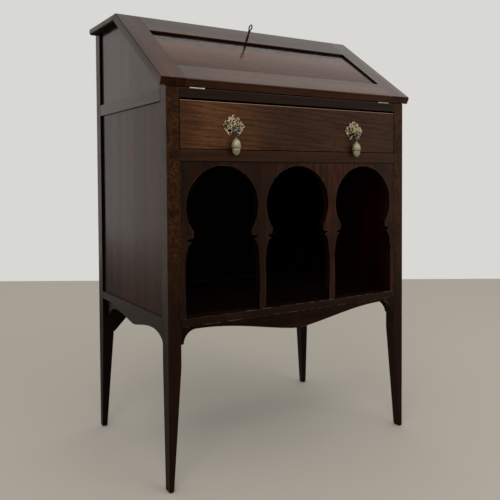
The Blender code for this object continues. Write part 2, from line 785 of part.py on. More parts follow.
def make_drawer(drawer_axis):
    """Drawer: a solid front, grooved sides, a back and a thin bottom."""
    def local(y_range):
        return [y - drawer_face for y in y_range]

    face_end = drawer_face + drawer_front_thickness
    tail = drawer_face + drawer_length
    ride = drawer_rail_top + joint_gap
    panel_low = ride + drawer_bottom_rise
    panel_high = panel_low + drawer_bottom_thickness
    side_top = drawer_top - drawer_side_drop
    inner = drawer_half_width - drawer_side_thickness
    board = add_piece("drawer_front", block(
        (-drawer_half_width, drawer_half_width), local((drawer_face, face_end)),
        (drawer_under, drawer_top)), mahogany, drawer_axis)
    for side in (-1, 1):
        combine(board, rod(
            stud_radius + joint_gap, -drawer_front_thickness, 2 * drawer_front_thickness, "y",
            (side * handle_place + handle_shift, eye_z + eye_radius)), "DIFFERENCE", drawer_axis)
    run = local((face_end + joint_gap, tail))
    for side, word in ((-1, "left"), (1, "right")):
        groove = inner + drawer_groove + joint_gap
        shape = [
            (drawer_half_width, ride), (drawer_half_width, side_top), (inner, side_top),
            (inner, panel_high + joint_gap), (groove, panel_high + joint_gap),
            (groove, panel_low - joint_gap), (inner, panel_low - joint_gap), (inner, ride)]
        shape = [(side * a, b) for a, b in shape]
        add_piece("drawer_side_" + word, prism(shape, *run, "y"), drawer_wood, drawer_axis)
    reach = inner - joint_gap
    add_piece("drawer_back", block(
        (-reach, reach), local((tail - drawer_side_thickness, tail)),
        (panel_high + joint_gap, side_top - drawer_back_drop)), drawer_wood, drawer_axis)
    reach = inner + drawer_groove
    add_piece("drawer_bottom", block(
        (-reach, reach), run, (panel_low, panel_high)), drawer_wood, drawer_axis)


def lobe_outline(lobes, steps):
    """Outline round a cluster of discs, measured outward from the middle of the plate."""
    outline = []
    for i in range(steps):
        turn = 2 * pi * i / steps
        reach = 0.0
        for x, z, radius in lobes:
            along = x * cos(turn) + z * sin(turn)
            room = radius ** 2 - x ** 2 - z ** 2 + along ** 2
            if room > 0:
                reach = max(reach, along + sqrt(room))
        outline.append((reach * cos(turn), reach * sin(turn)))
    return outline


def plate_lobes():
    """Discs that make up the pierced backplate, as place and radius."""
    across, up = plate_width / 2, plate_height / 2
    lobes = [(0.0, 0.0, 0.55 * up), (0.0, 0.78 * up, 0.21 * up)]
    steps = (
        (0.20, 0.55, 0.21), (0.36, 0.60, 0.19), (0.48, 0.33, 0.14), (0.68, 0.21, 0.20), (0.85, -0.07, 0.18),
        (0.64, -0.21, 0.19), (0.70, -0.40, 0.17), (0.50, -0.55, 0.24), (0.40, -0.79, 0.20))
    for side in (-1, 1):
        lobes += [(side * a * across, b * up, r * up) for a, b, r in steps]
    return lobes


def plate_holes():
    """Oval piercings of the backplate, as place and half axes."""
    across, up = plate_width / 2, plate_height / 2
    holes = [(0.0, 0.48 * up, 0.080 * across, 0.125 * up)]
    pairs = (
        (0.32, 0.39, 0.084, 0.100), (0.34, -0.11, 0.104, 0.095), (0.63, 0.04, 0.068, 0.062),
        (0.40, -0.52, 0.184, 0.152))
    for side in (-1, 1):
        holes += [(side * x * across, z * up, a * across, b * up) for x, z, a, b in pairs]
    return holes


def make_handle(word, side, drawer_axis):
    """Pierced backplate, eye stud through the drawer front, and the acorn drop that hangs in the eye."""
    middle = side * handle_place + handle_shift
    stud_z = eye_z + eye_radius
    outline = [(middle + a, handle_z + b) for a, b in lobe_outline(plate_lobes(), 120)]
    plate = add_piece("handle_plate_" + word, prism(
        outline, -plate_thickness - joint_gap, -joint_gap, "y"), brass, drawer_axis)
    through = (-4 * plate_thickness, 2 * plate_thickness)
    sides = 14
    holes = []
    for x, z, a, b in plate_holes():
        oval = arc((middle + x, handle_z + z), a, b, 0, 360 - 360 / sides, sides - 1)
        holes.append(prism(oval, *through, "y"))
    holes.append(rod(stud_radius + joint_gap, *through, "y", (middle, stud_z), 16))
    combine(plate, gather(holes), "DIFFERENCE", drawer_axis)
    nut_y = drawer_front_thickness + joint_gap
    stud = add_piece("handle_stud_" + word, rod(
        stud_radius, -bar_reach, nut_y + stud_nut_length, "y", (middle, stud_z), 16), brass, drawer_axis)
    combine(stud, ring(
        eye_radius, eye_radius, eye_wire, "y", (middle, -bar_reach, eye_z)), "UNION", drawer_axis)
    combine(stud, rod(
        stud_nut_radius, nut_y, nut_y + stud_nut_length, "y", (middle, stud_z), 16), "UNION", drawer_axis)
    smooth(stud)


def make_drop(word, side, drawer_axis):
    """Acorn drop with the wire loop that links it to the stud's eye."""
    sag = eye_radius - sqrt(eye_radius ** 2 - loop_wire ** 2)
    loop_top = eye_wire + sag + loop_play + loop_wire
    loop_middle = loop_top - loop_half_height
    loop_foot = loop_middle - loop_half_height
    shell_top = -acorn_neck
    waist = shell_top - acorn_shell
    nut_top = waist - acorn_groove
    profile = [(0.0, loop_foot), (loop_wire * 1.6, loop_foot), (loop_wire * 1.6, shell_top)]
    for i in range(1, 9):
        turn = pi / 2 * i / 8
        profile.append((acorn_radius * sin(turn) ** 0.85, waist + acorn_shell * cos(turn)))
    profile.append((acorn_radius * 0.82, waist - acorn_groove / 2))
    for i in range(8):
        turn = pi / 2 * i / 8
        profile.append((acorn_radius * 0.88 * cos(turn) ** 0.9, nut_top - acorn_tip * sin(turn)))
    profile.append((0.0, nut_top - acorn_tip))
    place = (side * handle_place + handle_shift, -bar_reach, bar_z)
    drop = add_piece("handle_drop_" + word, turned(profile), brass, drawer_axis, place)
    combine(drop, ring(
        loop_half_width, loop_half_height, loop_wire, "x", (0, 0, loop_middle)), "UNION", drawer_axis, place)
    smooth(drop)


for end, row in ((-1, "front"), (1, "back")):
    for side, word in ((-1, "left"), (1, "right")):
        make_leg("leg_" + row + "_" + word, side, end)
make_sides()
make_back()
make_front_rails()
make_fret()
make_boards()
make_pigeonholes()
hinge_line = add_axis("hinge_line", (0, hinge_y, hinge_z))
fall_axis = add_axis("fall_axis", (0, hinge_y, hinge_z), slope)
make_top_board(fall_axis)
make_keep(fall_axis)
make_fall(fall_axis)
make_hinges(fall_axis, hinge_line)
make_lock(fall_axis)
drawer_axis = add_axis("drawer_axis", (0, drawer_face, 0))
make_drawer(drawer_axis)
for side, word in ((-1, "left"), (1, "right")):
    make_handle(word, side, drawer_axis)
    make_drop(word, side, drawer_axis)
bpy.context.view_layer.update()
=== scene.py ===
import json
from math import asin, cos, pi, radians, sin, sqrt

import bmesh
import bpy
from mathutils import Matrix, Vector


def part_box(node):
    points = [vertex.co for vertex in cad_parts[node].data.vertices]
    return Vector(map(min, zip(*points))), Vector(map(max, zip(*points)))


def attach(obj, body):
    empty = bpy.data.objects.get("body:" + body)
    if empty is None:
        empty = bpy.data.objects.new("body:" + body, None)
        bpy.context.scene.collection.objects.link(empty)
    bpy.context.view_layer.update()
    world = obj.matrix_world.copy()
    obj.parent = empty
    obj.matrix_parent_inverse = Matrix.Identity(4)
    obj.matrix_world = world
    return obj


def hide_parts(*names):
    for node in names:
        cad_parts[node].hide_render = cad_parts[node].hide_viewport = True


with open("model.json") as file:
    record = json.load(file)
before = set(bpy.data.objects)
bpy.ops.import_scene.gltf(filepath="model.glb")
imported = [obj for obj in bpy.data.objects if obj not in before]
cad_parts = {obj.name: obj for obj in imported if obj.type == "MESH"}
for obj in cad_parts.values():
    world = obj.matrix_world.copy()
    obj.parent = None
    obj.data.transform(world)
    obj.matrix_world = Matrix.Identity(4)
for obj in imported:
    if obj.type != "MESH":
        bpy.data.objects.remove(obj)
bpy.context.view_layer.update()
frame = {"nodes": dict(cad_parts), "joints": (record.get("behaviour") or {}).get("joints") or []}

# Legs. Each is one square length of mahogany, the corner post above and the tapered leg below.
# The rails are tenoned into it. It is stained nearly black and polished, duller near the foot,
# and on the front pair the stain has rubbed thin, so that lighter wood shows in slanting flecks.
ALONG_X, ALONG_Y, ALONG_Z = 0, 1, 2
POLISH_TINT = (0.30, 0.20, 0.14)
weld_reach = 0.00002
wear_reach = 0.0020
grime_and_shade_reach = 0.014
arris_angle = radians(35)


def put(tree, kind, sockets, **settings):
    """Adds a shader node, and wires or sets its sockets."""
    made = tree.nodes.new(kind)
    for name, value in settings.items():
        setattr(made, name, value)
    for name, value in sockets.items():
        if isinstance(value, bpy.types.NodeSocket):
            tree.links.new(value, made.inputs[name])
        else:
            made.inputs[name].default_value = value
    return made


def noise(tree, spot, scale, detail=2.0, roughness=0.5, distortion=0.0):
    """A grey cloud over a coordinate."""
    return put(tree, "ShaderNodeTexNoise", {
        "Vector": spot, "Scale": scale, "Detail": detail, "Roughness": roughness,
        "Distortion": distortion}).outputs["Fac"]


def spread(tree, value, span, start=0.0, end=1.0):
    """Stretches a value from its span to start..end, and holds it there."""
    low, high = span
    return put(tree, "ShaderNodeMapRange", {
        "Value": value, "From Min": low, "From Max": high, "To Min": start, "To Max": end}).outputs["Result"]


def sums(tree, operation, first, second):
    """Arithmetic on two values."""
    return put(tree, "ShaderNodeMath", {0: first, 1: second}, operation=operation).outputs[0]


def times(tree, first, second):
    """One value by another."""
    return sums(tree, "MULTIPLY", first, second)


def layers(tree, *pairs):
    """Values added up, each by its share."""
    total = times(tree, *pairs[0])
    for value, share in pairs[1:]:
        total = sums(tree, "ADD", total, times(tree, value, share))
    return total


def rgba(colour):
    """A colour as a socket takes it: a wired one as it is, and three numbers at full cover."""
    return colour if isinstance(colour, bpy.types.NodeSocket) else (*colour, 1.0)


def blend(tree, share, under, over, way="MIX"):
    """Lays one colour over another."""
    return put(tree, "ShaderNodeMix", {0: share, 6: rgba(under), 7: rgba(over)},
               data_type="RGBA", blend_type=way).outputs[2]


def edge_mask(tree, radius):
    """1 on the arrises of a piece and 0 on its faces."""
    rounded = put(tree, "ShaderNodeBevel", {"Radius": radius}, samples=4).outputs["Normal"]
    plain = put(tree, "ShaderNodeNewGeometry", {}).outputs["Normal"]
    match = put(tree, "ShaderNodeVectorMath", {0: rounded, 1: plain}, operation="DOT_PRODUCT")
    return spread(tree, match.outputs["Value"], (0.99, 0.80))


def corner_mask(tree, reach):
    """1 in corners and quirks, 0 in the open."""
    open_share = put(tree, "ShaderNodeAmbientOcclusion", {"Distance": reach}, samples=4).outputs["AO"]
    return spread(tree, open_share, (0.85, 0.25))


def shader_of(finish):
    """The shader that a finish ends in."""
    return finish.node_tree.nodes["Principled BSDF"]


def colour_of(finish):
    """The colour that a finish has so far."""
    return shader_of(finish).inputs["Base Color"].links[0].from_socket


def start_finish(name):
    """A new finish, with its tree and the place on the piece that its pattern grows from."""
    finish = bpy.data.materials.new(name)
    finish.use_nodes = True
    tree = finish.node_tree
    return finish, tree, put(tree, "ShaderNodeTexCoord", {}).outputs["Object"]


def polished_wood(name, along, dark, middle, light, shift, lean=0.0, mottle=0.35, gloss=(0.24, 0.36),
                  worn=(0.15, 0.075, 0.036), wear=0.35, dirt_and_shade=0.75, figure=0.2, reach=26.0, shine=0.5,
                  contrast=1.0, size=1.0):
    """Mahogany with streaks, growth bands, pores, rubbed arrises and dark polish and painted shade in
    corners.

    The grain runs reach times as far along the board as across it, and size scales all of it.
    """
    finish, tree, place = start_finish(name)
    shader = shader_of(finish)
    run = [size, size, size]
    run[along] = size * reach
    board = put(tree, "ShaderNodeMapping", {
        "Vector": place, "Location": shift, "Rotation": (lean, 0.0, 0.0), "Scale": run},
        vector_type="TEXTURE").outputs[0]

    # Grain, from the widest streaks to the pores
    wide = noise(tree, board, 24.0, 2.0, 0.5, 0.4)
    broad = noise(tree, board, 55.0, 3.0, 0.55, 0.3)
    streak = noise(tree, board, 190.0, 4.0, 0.62, 0.3)
    fine = noise(tree, board, 560.0, 3.0, 0.60)
    bands = put(tree, "ShaderNodeTexWave", {
        "Vector": board, "Scale": 12.0, "Distortion": 7.0, "Detail": 3.0, "Detail Scale": 1.4,
        "Detail Roughness": 0.6}, bands_direction="DIAGONAL").outputs["Fac"]
    pores = spread(tree, noise(tree, board, 1500.0, 1.0, 0.5), (0.60, 0.70))

    # Colour, then clouds of lighter wood, pores, rubbed arrises, and grime with painted shade in corners
    plain = 1.0 - figure
    tone = layers(tree, (wide, figure), (broad, 0.32 * plain), (streak, 0.32 * plain), (fine, 0.24 * plain),
                  (bands, 0.12 * plain))
    half = 0.12 / contrast
    colour = blend(tree, spread(tree, tone, (0.5 - half, 0.5 + half)), dark, middle)
    cloud = spread(tree, noise(tree, place, 8.0, 3.0, 0.55), (0.44, 0.68))
    lighter = times(tree, cloud, spread(tree, streak, (0.40, 0.62)))
    colour = blend(tree, times(tree, lighter, mottle), colour, light)
    colour = blend(tree, times(tree, pores, 0.50), colour, [0.25 * c for c in dark])
    patches = spread(tree, noise(tree, place, 70.0, 4.0, 0.6), (0.46, 0.64))
    rubbed = times(tree, edge_mask(tree, wear_reach), patches)
    colour = blend(tree, times(tree, rubbed, wear), colour, worn)
    # Corners and recesses darkened: grime, and painted shade where little light reaches
    grime_and_shade = corner_mask(tree, grime_and_shade_reach)
    colour = blend(tree, times(tree, grime_and_shade, dirt_and_shade), colour, [0.15 * c for c in dark])
    tree.links.new(colour, shader.inputs["Base Color"])

    # Polish, smeared by the pad and duller where the grain is open
    smear = noise(tree, place, 18.0, 4.0, 0.6)
    rough = spread(tree, layers(tree, (smear, 0.7), (fine, 0.3)), (0.35, 0.65), *gloss)
    tree.links.new(rough, shader.inputs["Roughness"])
    shader.inputs["Specular IOR Level"].default_value = shine
    shader.inputs["Specular Tint"].default_value = rgba(POLISH_TINT)

    # Relief of the grain, the sunk pores and the plane's ripple
    ripple = noise(tree, place, 24.0, 1.0)
    relief = layers(tree, (fine, 0.22), (pores, -0.35), (ripple, 0.30))
    bump = put(tree, "ShaderNodeBump", {"Height": relief, "Strength": 0.35, "Distance": 0.0004})
    tree.links.new(bump.outputs["Normal"], shader.inputs["Normal"])
    return finish


def fade(tree, by, axis, span):
    """0 at a span's start and 1 at its end, by place ("Object") or by the way a face looks ("Normal")."""
    spot = put(tree, "ShaderNodeTexCoord", {}).outputs[by]
    value = put(tree, "ShaderNodeSeparateXYZ", {"Vector": spot}).outputs[axis]
    return spread(tree, value, span)


def shade(finish, by, axis, span, colour, way="MULTIPLY"):
    """Changes the colour of a finish over a span."""
    tree = finish.node_tree
    mixed = blend(tree, fade(tree, by, axis, span), colour_of(finish), colour, way)
    tree.links.new(mixed, shader_of(finish).inputs["Base Color"])


def dull(finish, by, axis, span, roughness):
    """Takes the gloss off a finish over a span."""
    tree = finish.node_tree
    rough = shader_of(finish).inputs["Roughness"]
    share = fade(tree, by, axis, span)
    mixed = put(tree, "ShaderNodeMix", {0: share, 2: rough.links[0].from_socket, 3: roughness}).outputs[0]
    tree.links.new(mixed, rough)


def fleck(finish, slant, axis, span, colour, share):
    """Slanting flecks of another colour, fading in over a span."""
    tree = finish.node_tree
    place = put(tree, "ShaderNodeTexCoord", {}).outputs["Object"]
    turned = put(tree, "ShaderNodeMapping", {
        "Vector": place, "Rotation": (0.0, slant, 0.0), "Scale": (3.5, 1.0, 1.0)},
        vector_type="TEXTURE").outputs[0]
    spots = spread(tree, noise(tree, turned, 520.0, 4.0, 0.7), (0.42, 0.66))
    patches = spread(tree, noise(tree, place, 40.0, 4.0, 0.65), (0.30, 0.58))
    rubbed = times(tree, fade(tree, "Object", axis, span), share)
    amount = times(tree, times(tree, spots, patches), rubbed)
    tree.links.new(blend(tree, amount, colour_of(finish), colour), shader_of(finish).inputs["Base Color"])


def ease(piece, edge):
    """Eases the arrises of a piece."""
    bevel = piece.modifiers.new("Ease", "BEVEL")
    bevel.width = edge
    bevel.segments = 2
    bevel.limit_method = "ANGLE"
    bevel.angle_limit = arris_angle
    bevel.harden_normals = True


def dress(finish, edge, *names):
    """Gives CAD pieces their finish and eases their arrises."""
    for name in names:
        piece = frame["nodes"][name]
        piece.material_slots[0].material = finish
        weld = piece.modifiers.new("Weld", "WELD")
        weld.merge_threshold = weld_reach
        ease(piece, edge)


STAIN_DARK = (0.0040, 0.0013, 0.0008)
STAIN_MIDDLE = (0.0145, 0.0046, 0.0023)
STAIN_LIGHT = (0.0600, 0.0220, 0.0078)
FLECKS = (0.085, 0.034, 0.010)
FOOT_SHADE_TINT = (0.75, 0.55, 0.45)
PAINTED_SHADE_TINT = (0.22, 0.22, 0.25)
leg_edge = 0.0010
fleck_slant = radians(50)
fleck_share = 0.85
fleck_span = (0.34, 0.52)
foot_shade_span = (0.34, 0.10)
foot_dull_span = (0.42, 0.26)
foot_roughness = 0.62
looking_front = (-0.3, -0.8)
for name, shift in (("leg_front_left", (0.3, 0.1, 0.7)), ("leg_front_right", (0.9, 0.4, 0.2)),
                    ("leg_back_left", (1.7, 0.2, 1.1)), ("leg_back_right", (2.3, 0.8, 0.5))):
    wood = polished_wood(name + "_wood", ALONG_Z, STAIN_DARK, STAIN_MIDDLE, STAIN_LIGHT, shift, shine=0.28)
    if "front" in name:
        fleck(wood, fleck_slant, ALONG_Z, fleck_span, FLECKS, fleck_share)
    else:
        # Painted shade on the faces that look to the front, in the recess and under the carcass
        shade(wood, "Normal", ALONG_Y, looking_front, PAINTED_SHADE_TINT)
    # Darker towards the foot: darker stain and painted shade from the floor up
    shade(wood, "Object", ALONG_Z, foot_shade_span, FOOT_SHADE_TINT)
    dull(wood, "Object", ALONG_Z, foot_dull_span, foot_roughness)
    dress(wood, leg_edge, name)

# Side panels. Wide thin mahogany boards, grain upright, held in grooves of the posts and rails.
# They stand back from the frame. The outside is polished to a shine and duller towards the floor.
# Painted shade darkens it towards the floor and beside the back post, and the cupboard side
# is painted dark as shade, nearly black on the left and redder on the right.
BROWN_LIGHT = (0.1050, 0.0430, 0.0170)
PANEL_DARK = (0.008, 0.0028, 0.0015)
PANEL_MIDDLE = (0.078, 0.024, 0.0115)
PANEL_BACK_SHADE = (0.25, 0.18, 0.16)
PANEL_FOOT_SHADE = (0.60, 0.55, 0.50)
panel_edge = 0.0004
panel_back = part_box("side_panel_lower_left")[1].y
panel_back_shade_span = (panel_back - 0.0178, panel_back - 0.0058)
panel_shade_span = (0.62, 0.36)
panel_dull_span = (0.52, 0.36)
panel_foot_roughness = 0.55
for side, word, shift, inside_shade in ((-1, "left", 3.1, (0.04, 0.02, 0.02)),
                                       (1, "right", 4.6, (0.45, 0.15, 0.10))):
    for level, up, depth, shine, dirt_and_shade, contrast in (("upper", 0.3, 1.0, 0.5, 0.6, 1.5),
                                                    ("lower", 1.9, 0.7, 0.2, 0.2, 1.1)):
        dark, middle = [depth * c for c in PANEL_DARK], [depth * c for c in PANEL_MIDDLE]
        wood = polished_wood("side_panel_wood_%s_%s" % (level, word), ALONG_Z, dark, middle, BROWN_LIGHT,
                             (shift, 0.6, up), mottle=0.1, gloss=(0.10, 0.17), figure=0.45, shine=shine,
                             dirt_and_shade=dirt_and_shade, contrast=contrast)
        # Painted shade beside the back post
        shade(wood, "Object", ALONG_Y, panel_back_shade_span, PANEL_BACK_SHADE)
        if level == "lower":
            # Painted shade, darker towards the floor
            shade(wood, "Object", ALONG_Z, panel_shade_span, PANEL_FOOT_SHADE)
            dull(wood, "Object", ALONG_Z, panel_dull_span, panel_foot_roughness)
            # Painted shade on the cupboard side of the panel
            shade(wood, "Normal", ALONG_X, (0.0, -0.6 * side), inside_shade)
        dress(wood, panel_edge, "side_panel_%s_%s" % (level, word))

# Side rails and aprons. Straight rails tenoned between the posts, flush with their outer faces,
# and a sawn apron glued up under the bottom rail, its edge cut to a wave between two brackets.
# The upward face of the ledge that the bottom rail makes outside the panel is painted paler, as light
# falling on it, and the rail's part inside the cupboard is painted dark as shade.
BROWN_DARK = (0.0150, 0.0050, 0.0024)
BROWN_MIDDLE = (0.0460, 0.0175, 0.0078)
LEDGE_LIGHT = (0.05, 0.034, 0.022)
LEDGE_INSIDE_SHADE = (0.04, 0.03, 0.03)
rail_edge = 0.0006
looking_up = (0.3, 0.8)
panel_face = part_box("side_panel_lower_right")[1].x
ledge_from, ledge_to = panel_face - 0.0015, panel_face - 0.0055
for side, word, shift in ((-1, "left", 5.2), (1, "right", 6.4)):
    wood = polished_wood("side_mid_rail_wood_" + word, ALONG_Y, BROWN_DARK, BROWN_MIDDLE, BROWN_LIGHT,
                         (0.2, shift, 0.9), mottle=0.2, gloss=(0.18, 0.28), shine=0.45)
    dress(wood, rail_edge, "side_mid_rail_" + word)
    wood = polished_wood("side_low_rail_wood_" + word, ALONG_Y, STAIN_DARK, STAIN_MIDDLE, STAIN_LIGHT,
                         (0.7, shift, 0.1), mottle=0.3, shine=0.10, dirt_and_shade=0.3)
    # Painted light on the upward faces of the ledge
    shade(wood, "Normal", ALONG_Z, looking_up, LEDGE_LIGHT, "MIX")
    # Painted shade on the rail's part inside the cupboard
    shade(wood, "Object", ALONG_X, (side * ledge_from, side * ledge_to), LEDGE_INSIDE_SHADE)
    dress(wood, rail_edge, "side_bottom_rail_" + word, "side_apron_" + word)

# Back frame. The same rails and panels in a cheaper cut, stained darker and waxed, not polished.
# The apron has straight brackets sawn at a slant. The cupboard side of the boards
# is painted nearly black as shade.
BACK_DARK = (0.010, 0.0045, 0.0028)
BACK_MIDDLE = (0.026, 0.0110, 0.0062)
BACK_LIGHT = (0.050, 0.0230, 0.0120)
BACK_RAIL_INSIDE_SHADE = (0.06, 0.04, 0.04)
BACK_PANEL_INSIDE_SHADE = (0.03, 0.02, 0.02)
looking_inward = (0.0, -0.6)
back_rails = polished_wood("back_rail_wood", ALONG_X, BACK_DARK, BACK_MIDDLE, BACK_LIGHT, (7.3, 0.4, 0.8),
                           gloss=(0.42, 0.60), wear=0.25, shine=0.2)
# Painted shade on the cupboard side
shade(back_rails, "Normal", ALONG_Y, looking_inward, BACK_RAIL_INSIDE_SHADE)
back_boards = polished_wood("back_panel_wood", ALONG_Z, BACK_DARK, BACK_MIDDLE, BACK_LIGHT, (0.5, 7.9, 0.2),
                            gloss=(0.45, 0.62), wear=0.25, shine=0.15)
shade(back_boards, "Normal", ALONG_Y, looking_inward, BACK_PANEL_INSIDE_SHADE)
dress(back_rails, rail_edge, "back_mid_rail", "back_bottom_rail", "back_apron")
dress(back_boards, panel_edge, "back_panel_upper", "back_panel_lower")

# Front rails and apron. Long rails tenoned between the front posts, above and below the drawer
# and under the cupboard, with a shaped apron glued under the lowest. The top rail is nearly black,
# with its upper arris rubbed under the fall and given a painted highlight, and the lowest rail is rubbed
# on its arrises by feet and brooms.
BED_RAIL_DARK = (0.0030, 0.0013, 0.0010)
BED_RAIL_MIDDLE = (0.0105, 0.0046, 0.0032)
BED_RAIL_TOP_RUB_AND_HIGHLIGHT = (0.26, 0.19, 0.14)
BED_RAIL_ARRIS_HIGHLIGHT = (0.030, 0.022, 0.018)
bed_rail_edge = 0.0012
bed_rail_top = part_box("drawer_top_rail")[1].z
bed_highlight_span = (bed_rail_top - 0.0018, bed_rail_top - 0.0010)
bed_top_facing = (0.25, 0.7)
bed_rail_wood = polished_wood("bed_rail_wood", ALONG_X, BED_RAIL_DARK, BED_RAIL_MIDDLE, STAIN_LIGHT,
                              (8.9, 0.6, 0.2), mottle=0.12)
# Upward faces painted pale: rubbed wear and painted highlight
shade(bed_rail_wood, "Normal", ALONG_Z, bed_top_facing, BED_RAIL_TOP_RUB_AND_HIGHLIGHT, "MIX")
# A painted highlight along the top of the front face
shade(bed_rail_wood, "Object", ALONG_Z, bed_highlight_span, BED_RAIL_ARRIS_HIGHLIGHT, "MIX")
dress(bed_rail_wood, bed_rail_edge, "drawer_top_rail")

DRAWER_RAIL_DARK = (0.012, 0.004, 0.0019)
DRAWER_RAIL_MIDDLE = (0.038, 0.0135, 0.0060)
drawer_rail_wood = polished_wood("drawer_rail_wood", ALONG_X, DRAWER_RAIL_DARK, DRAWER_RAIL_MIDDLE,
                                 BROWN_LIGHT, (8.5, 0.1, 0.7), mottle=0.25, dirt_and_shade=0.4)
dress(drawer_rail_wood, rail_edge, "drawer_rail")

FRONT_RAIL_DARK = (0.0030, 0.0011, 0.0006)
FRONT_RAIL_MIDDLE = (0.0125, 0.0048, 0.0026)
FRONT_RAIL_WORN = (0.36, 0.28, 0.21)
front_rail_wood = polished_wood("front_rail_wood", ALONG_X, FRONT_RAIL_DARK, FRONT_RAIL_MIDDLE, STAIN_LIGHT,
                                (8.1, 0.3, 0.4), mottle=0.3, worn=FRONT_RAIL_WORN, wear=0.9, shine=0.35)
dress(front_rail_wood, rail_edge, "front_bottom_rail")

APRON_DARK = (0.0035, 0.0010, 0.0006)
APRON_MIDDLE = (0.0120, 0.0034, 0.0017)
APRON_RIGHT_TINT = (1.35, 1.50, 1.60)
APRON_POLISH = (0.12, 0.07, 0.05)
apron_right_span = (-0.16, 0.0)
apron_wood = polished_wood("front_apron_wood", ALONG_X, APRON_DARK, APRON_MIDDLE, STAIN_LIGHT,
                           (8.3, 0.9, 0.5), mottle=0.2, gloss=(0.40, 0.55), wear=0.5, shine=0.2)
shade(apron_wood, "Object", ALONG_X, apron_right_span, APRON_RIGHT_TINT)
shader_of(apron_wood).inputs["Specular Tint"].default_value = rgba(APRON_POLISH)
dress(apron_wood, rail_edge, "front_apron")

# Fret. One upright board sawn to three horseshoe arches on slim columns, set just behind the
# posts' faces and glued into the front opening. Its arrises are lightly rounded and here and there chipped.
FRET_MIDDLE = (0.0165, 0.0050, 0.0026)
FRET_LIGHT = (0.0950, 0.0260, 0.0105)
FRET_WORN = (0.22, 0.14, 0.09)
FRET_SAWN_SHADE = (0.35, 0.30, 0.30)
FRET_TOP_SHADOW = (0.10, 0.08, 0.08)
fret_edge = 0.0008
fret_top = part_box("fret_panel")[1].z
fret_shadow_span = (fret_top - 0.0045, fret_top - 0.0012)
off_the_front = (-0.5, 0.2)
fret_wood = polished_wood("fret_wood", ALONG_Z, STAIN_DARK, FRET_MIDDLE, FRET_LIGHT, (9.4, 0.2, 0.6),
                          mottle=0.6, worn=FRET_WORN, wear=0.45, shine=0.4)
# Painted shade on the sawn edges in the arches and on the back face
shade(fret_wood, "Normal", ALONG_Y, off_the_front, FRET_SAWN_SHADE)
# A painted shadow line along the top, under the rail
shade(fret_wood, "Object", ALONG_Z, fret_shadow_span, FRET_TOP_SHADOW)
dress(fret_wood, fret_edge, "fret_panel")

# Boards inside the carcass. The cupboard floor and ceiling are painted as dark as the back's
# cupboard side, as shade.
# The writing bed and the small pigeonhole fitment are plain waxed mahogany.
CUPBOARD_DARK = (0.0020, 0.0008, 0.0006)
CUPBOARD_MIDDLE = (0.0060, 0.0021, 0.0014)
CUPBOARD_LIGHT = (0.0120, 0.0045, 0.0028)
INSIDE_DARK = (0.060, 0.026, 0.012)
INSIDE_MIDDLE = (0.130, 0.062, 0.030)
INSIDE_LIGHT = (0.210, 0.110, 0.056)
waxed = (0.42, 0.60)
cupboard_wood = polished_wood("cupboard_wood", ALONG_X, CUPBOARD_DARK, CUPBOARD_MIDDLE, CUPBOARD_LIGHT,
                              (10.2, 0.7, 0.3), gloss=waxed, wear=0.2, shine=0.15)
inside_wood = polished_wood("inside_wood", ALONG_X, INSIDE_DARK, INSIDE_MIDDLE, INSIDE_LIGHT,
                            (11.4, 0.1, 0.9), gloss=waxed, wear=0.2)
divider_wood = polished_wood("divider_wood", ALONG_Z, INSIDE_DARK, INSIDE_MIDDLE, INSIDE_LIGHT,
                             (0.4, 11.8, 0.1), gloss=waxed, wear=0.3)
dress(cupboard_wood, rail_edge, "cupboard_floor", "cupboard_ceiling")
dress(inside_wood, rail_edge, "writing_bed", "pigeonhole_shelf")
dress(divider_wood, rail_edge, "pigeonhole_divider_1", "pigeonhole_divider_2", "pigeonhole_divider_3")

# Drawer runners. Rebated strips of pale softwood along the sides of the drawer opening,
# unpolished, and glazed by the drawer that has run on them.
LINING_DARK = (0.150, 0.085, 0.042)
LINING_MIDDLE = (0.270, 0.165, 0.088)
LINING_LIGHT = (0.360, 0.240, 0.140)
unpolished = (0.50, 0.70)
runner_wood = polished_wood("runner_wood", ALONG_Y, LINING_DARK, LINING_MIDDLE, LINING_LIGHT,
                            (0.9, 12.6, 0.3), gloss=unpolished, wear=0.1)
dress(runner_wood, rail_edge, "drawer_runner_left", "drawer_runner_right")

# Top board. A wide board with rounded ends and back edge, pinned down on the carcass,
# and planed to a slant in front so that the fall closes flush against it. Its underside is bare and dull,
# and painted dark as shade.
UNDERSIDE_SHADE = (0.05, 0.04, 0.04)
board_edge = 0.0012
looking_down = (-0.2, -0.8)
underside_roughness = 0.95
top_wood = polished_wood("top_board_wood", ALONG_X, BROWN_DARK, BROWN_MIDDLE, BROWN_LIGHT, (13.3, 0.5, 0.7),
                         mottle=0.3, gloss=(0.18, 0.30), shine=0.25)
# Painted shade on the underside
shade(top_wood, "Normal", ALONG_Z, looking_down, UNDERSIDE_SHADE)
dull(top_wood, "Normal", ALONG_Z, looking_down, underside_roughness)
dress(top_wood, board_edge, "top_board")

# Fall. A frame of two stiles and two rails, flush on the face, round a sunk panel. The stiles run
# up the slope, and the rails and the panel have their grain across. The lower edge is rounded,
# and hands have worn the stiles' outer arrises round. The inner face is shut away and keeps its plain colour.
joints = {joint["name"]: joint for joint in frame["joints"]}
slope = pi - radians(joints["fall_hinge"]["range_deg"][1])
hinge_line = Matrix.Translation(joints["fall_hinge"]["pos_m"])
fall_frame = hinge_line @ Matrix.Rotation(slope, 4, "X")
to_fall = fall_frame.inverted()
fall_edge = 0.0006
fall_gloss = (0.12, 0.22)


def fall_box(name):
    """Low and high corner of a CAD piece as the fall sees it: across, up the slope and out of the face."""
    spots = [to_fall @ v.co for v in frame["nodes"][name].data.vertices]
    return [Vector([pick(spot[i] for spot in spots) for i in range(3)]) for pick in (min, max)]


